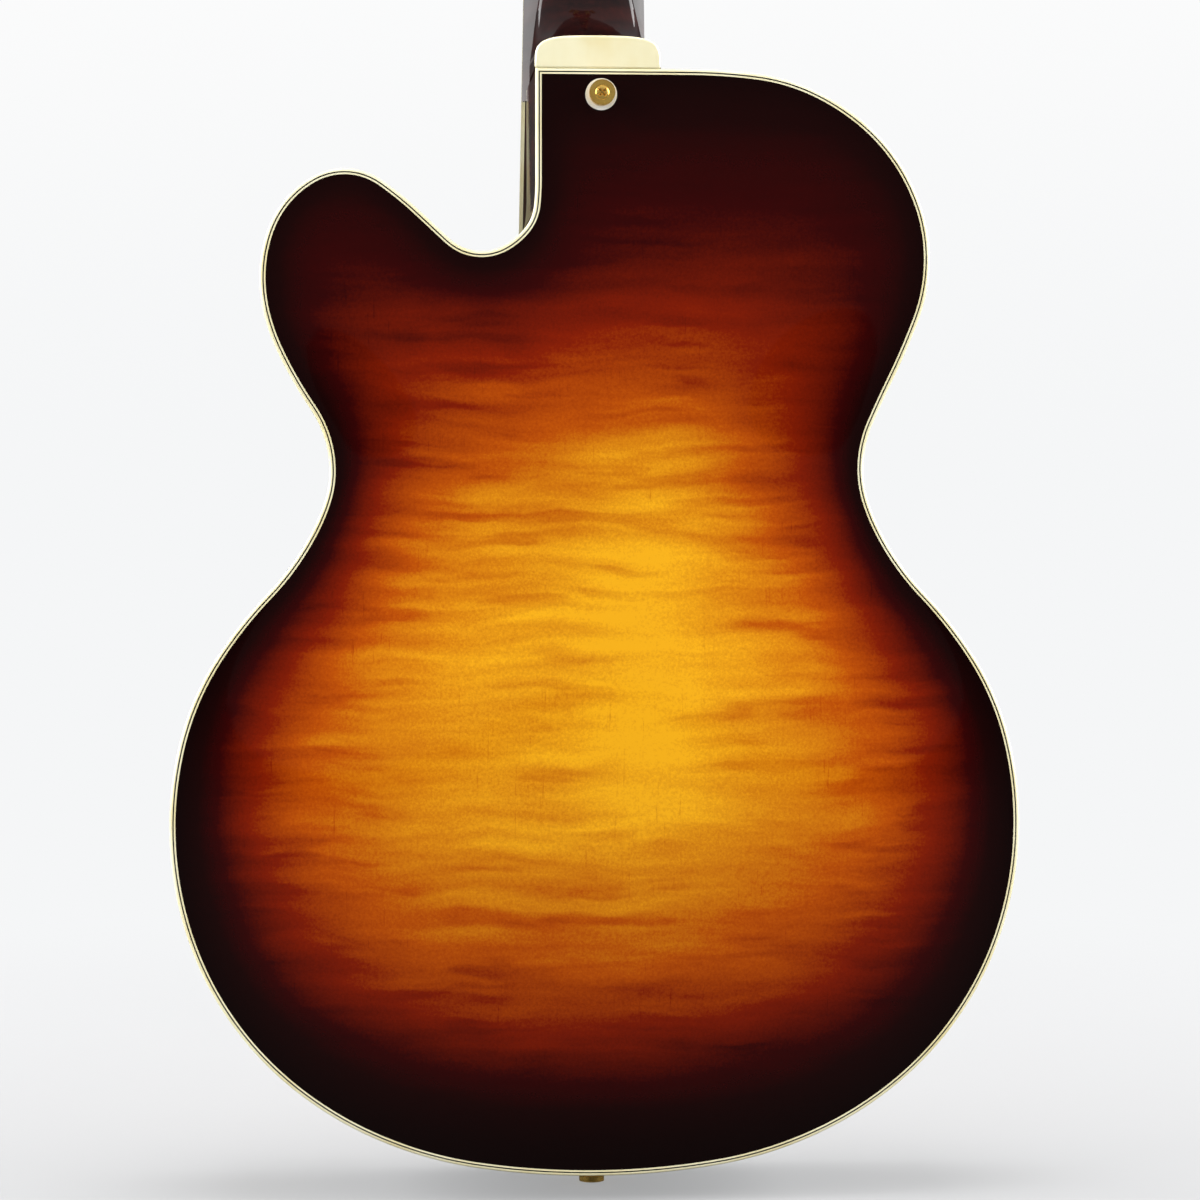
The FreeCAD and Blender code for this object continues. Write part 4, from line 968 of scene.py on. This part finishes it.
ferrule = {
    "rows": [(3.2, -0.2, 0), (6.0, -0.2, 0), (6.0, 0.4, 0), (5.7, 0.7, 0), (4.8, 0.8, 0), (4.6, 1.7, 0),
             (4.2, 2.1, 0), (3.2, 2.1, 0)],
    "besideHole": 4.4,
}
ball = {
    "rows": [(0, -1.7, 0), (0.9, -1.7, 0), (1.8, -1.3, 0), (2.0, -0.5, 0), (1.7, 0, 0), (2.0, 0.5, 0),
             (1.8, 1.3, 0), (0.9, 1.7, 0), (0, 1.7, 0)],
    "places": [(x, -69.5, 127.0, sideways, 1) for x in (26, 15.6, 5.2, -5.2, -15.6, -26)],
}
postPlaces = []
for joint in frame["joints"]:
    if joint["child"].startswith("string_post"):
        x, y, z = [value / mm for value in joint["pos_m"]]
        spot = seat("headstock_veneer", (x + ferrule["besideHole"], y, z), headFront)
        postPlaces.append((x,) + spot[1:3] + (headFront, 1))
fittings("post_ferrules", lathe("ferrule", ferrule["rows"], True), postPlaces, "gold_plate")
fittings("string_ball_ends", lathe("ball end", ball["rows"]), ball["places"], "gold_plate")
print("fittings set")

strings = {"nodes": ("plain_strings", "wound_strings"), "tail": 133.9, "saddle": 243.48, "nut": 869.0}


def stringSpan(name, label, keepAbove):
    # one side of the strings, cut at the saddle and closed there
    mesh = nodes[name].data.copy()
    softenEdges(mesh, smooth["string"])
    with editing(mesh) as work:
        bmesh.ops.bisect_plane(work, geom=work.verts[:] + work.edges[:] + work.faces[:],
                               plane_co=(0, 0, strings["saddle"] * mm), plane_no=(0, 0, 1),
                               clear_inner=keepAbove, clear_outer=not keepAbove)
        bmesh.ops.holes_fill(work, edges=[edge for edge in work.edges if edge.is_boundary])
    piece = holder(name + label, mesh)
    mesh.materials.clear()
    mesh.materials.append(finishes[slotOf[name]])
    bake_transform(piece)
    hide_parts(name)
    covered.add(name)


for name in strings["nodes"]:
    stringSpan(name, ".upper", True)
    stringSpan(name, ".lower", False)

# rounds on the edges of nodes that keep their CAD shape, in mm
rounds = {
    "headstock_veneer": 0.4, "nut": 0.4, "truss_rod_cover": 0.5, "tuner_housings": 0.9,
    "bridge_base": 0.5, "bridge_saddle": 0.5, "tailpiece_bracket": 0.4, "pickguard": 0.8,
    "neck_pickup": 1.4, "pickup_ring": 1.0,
}
rounds.update({"tuner_button_%d" % number: 1.3 for number in range(1, 7)})


def polishNode(name):
    # the CAD node's own shape with smooth shading, and its edges rounded where the table says so
    mesh = nodes[name].data.copy()
    softenEdges(mesh, smooth["crease"], name in rounds)
    piece = addPiece(name + ".skin", mesh, nodes[name]["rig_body"], slotOf[name], (name,))
    if name in rounds:
        roundEdges(piece, rounds[name])


for name in sorted(set(nodes) - covered):
    polishNode(name)
print("other nodes polished")

stage = {
    "floorHeight": cadBox[0].z, "floorRadius": 40.0, "floorSides": 96, "fade": (0.3, 1.0), "soft": 0.35,
    "floorColour": paint(158, 158, 159), "floorDull": paint(60, 60, 60), "floorBounce": paint(112, 112, 112),
    "far": paint(253, 253, 253), "low": paint(245, 246, 247), "horizon": (0.0, 0.22),
    "dim": (0.08, 0.08, 0.08, 1), "bright": (0.5, 0.5, 0.5, 1), "sides": (0.35, 0.8),
    # place, aim, size (m), power (W) and whether it shows in reflections
    "lamps": [((2.7, 0.95, 1.2), (0, 0, 0.3), 2.4, 111, True),
              ((-2.7, 0.95, 1.2), (0, 0, 0.3), 2.4, 111, True),
              ((2.7, -0.95, 1.4), (0, 0, 0.4), 2.4, 111, True),
              ((-2.7, -0.95, 1.4), (0, 0, 0.4), 2.4, 111, True),
              ((0, 0.2, 3.4), (0, 0, 0.4), 1.8, 75, False)],
    "cameraPlace": (0.0988, 1.521, 0.3095), "cameraAim": (-0.0009, 0.043, 0.2611),
    "lens": 102.33, "sensor": 36, "clip": (0.01, 200),
}


def makeFloor():
    # pale floor that fades into the background, and stays dull in reflections and bounced light
    mesh = bpy.data.meshes.new("floor")
    with editing(mesh) as work:
        bmesh.ops.create_circle(work, cap_ends=True, segments=stage["floorSides"],
                                radius=stage["floorRadius"],
                                matrix=Matrix.Translation((0, 0, stage["floorHeight"])))
    floor = holder("floor", mesh)
    shade = Shade("pale floor")
    shade.done(Base_Color=stage["floorColour"], Roughness=0.9, Specular_IOR_Level=0.1)
    lit = Term(shade, shade.surface.outputs[0])
    away = shade.node("ShaderNodeVectorMath", {"operation": "LENGTH"}, {0: shade.place()}, "Value")
    glow = shade.node("ShaderNodeEmission", {}, {"Color": stage["low"]})
    mirrored = shade.node("ShaderNodeLightPath", out="Is Glossy Ray")
    dull = shade.node("ShaderNodeBsdfDiffuse", {},
                      {"Color": shade.mix(mirrored, stage["floorBounce"], stage["floorDull"])})
    seen = shade.node("ShaderNodeLightPath", out="Is Camera Ray")
    share = stage["soft"] + away.between(*stage["fade"]) * (1 - stage["soft"])
    pale = shade.node("ShaderNodeMixShader", {}, {0: share, 1: lit, 2: glow})
    shade.show(shade.node("ShaderNodeMixShader", {}, {0: seen, 1: dull, 2: pale}))
    mesh.materials.append(shade.owner)


def makeWorld():
    world = bpy.data.worlds.new("studio")
    bpy.context.scene.world = world
    shade = Shade("studio", world)
    x, y, z = shade.axes(shade.node("ShaderNodeTexCoord", out="Generated"))
    side = 1 - (y * y).between(*stage["sides"])
    around = shade.mix(side, stage["dim"], stage["bright"])
    behind = shade.mix(z.between(*stage["horizon"]), stage["low"], stage["far"])
    seen = shade.node("ShaderNodeLightPath", out="Is Camera Ray")
    shade.show(shade.node("ShaderNodeBackground", {}, {"Color": shade.mix(seen, around, behind)}))


def aim(thing, target):
    thing.rotation_euler = (Vector(target) - thing.location).to_track_quat("-Z", "Y").to_euler()


def makeLamps():
    for at, (place, target, size, power, mirrored) in enumerate(stage["lamps"]):
        light = bpy.data.lights.new("softbox.%d" % at, "AREA")
        light.shape = "SQUARE"
        light.size = size
        light.energy = power
        lamp = holder(light.name, light)
        lamp.location = place
        lamp.visible_glossy = mirrored
        aim(lamp, target)


def makeCamera():
    lens = bpy.data.cameras.new("view")
    lens.lens = stage["lens"]
    lens.sensor_width = stage["sensor"]
    lens.clip_start, lens.clip_end = stage["clip"]
    camera = holder("view", lens)
    camera.location = stage["cameraPlace"]
    aim(camera, stage["cameraAim"])
    bpy.context.scene.camera = camera


makeFloor()
makeWorld()
makeLamps()
makeCamera()
print("stage set")
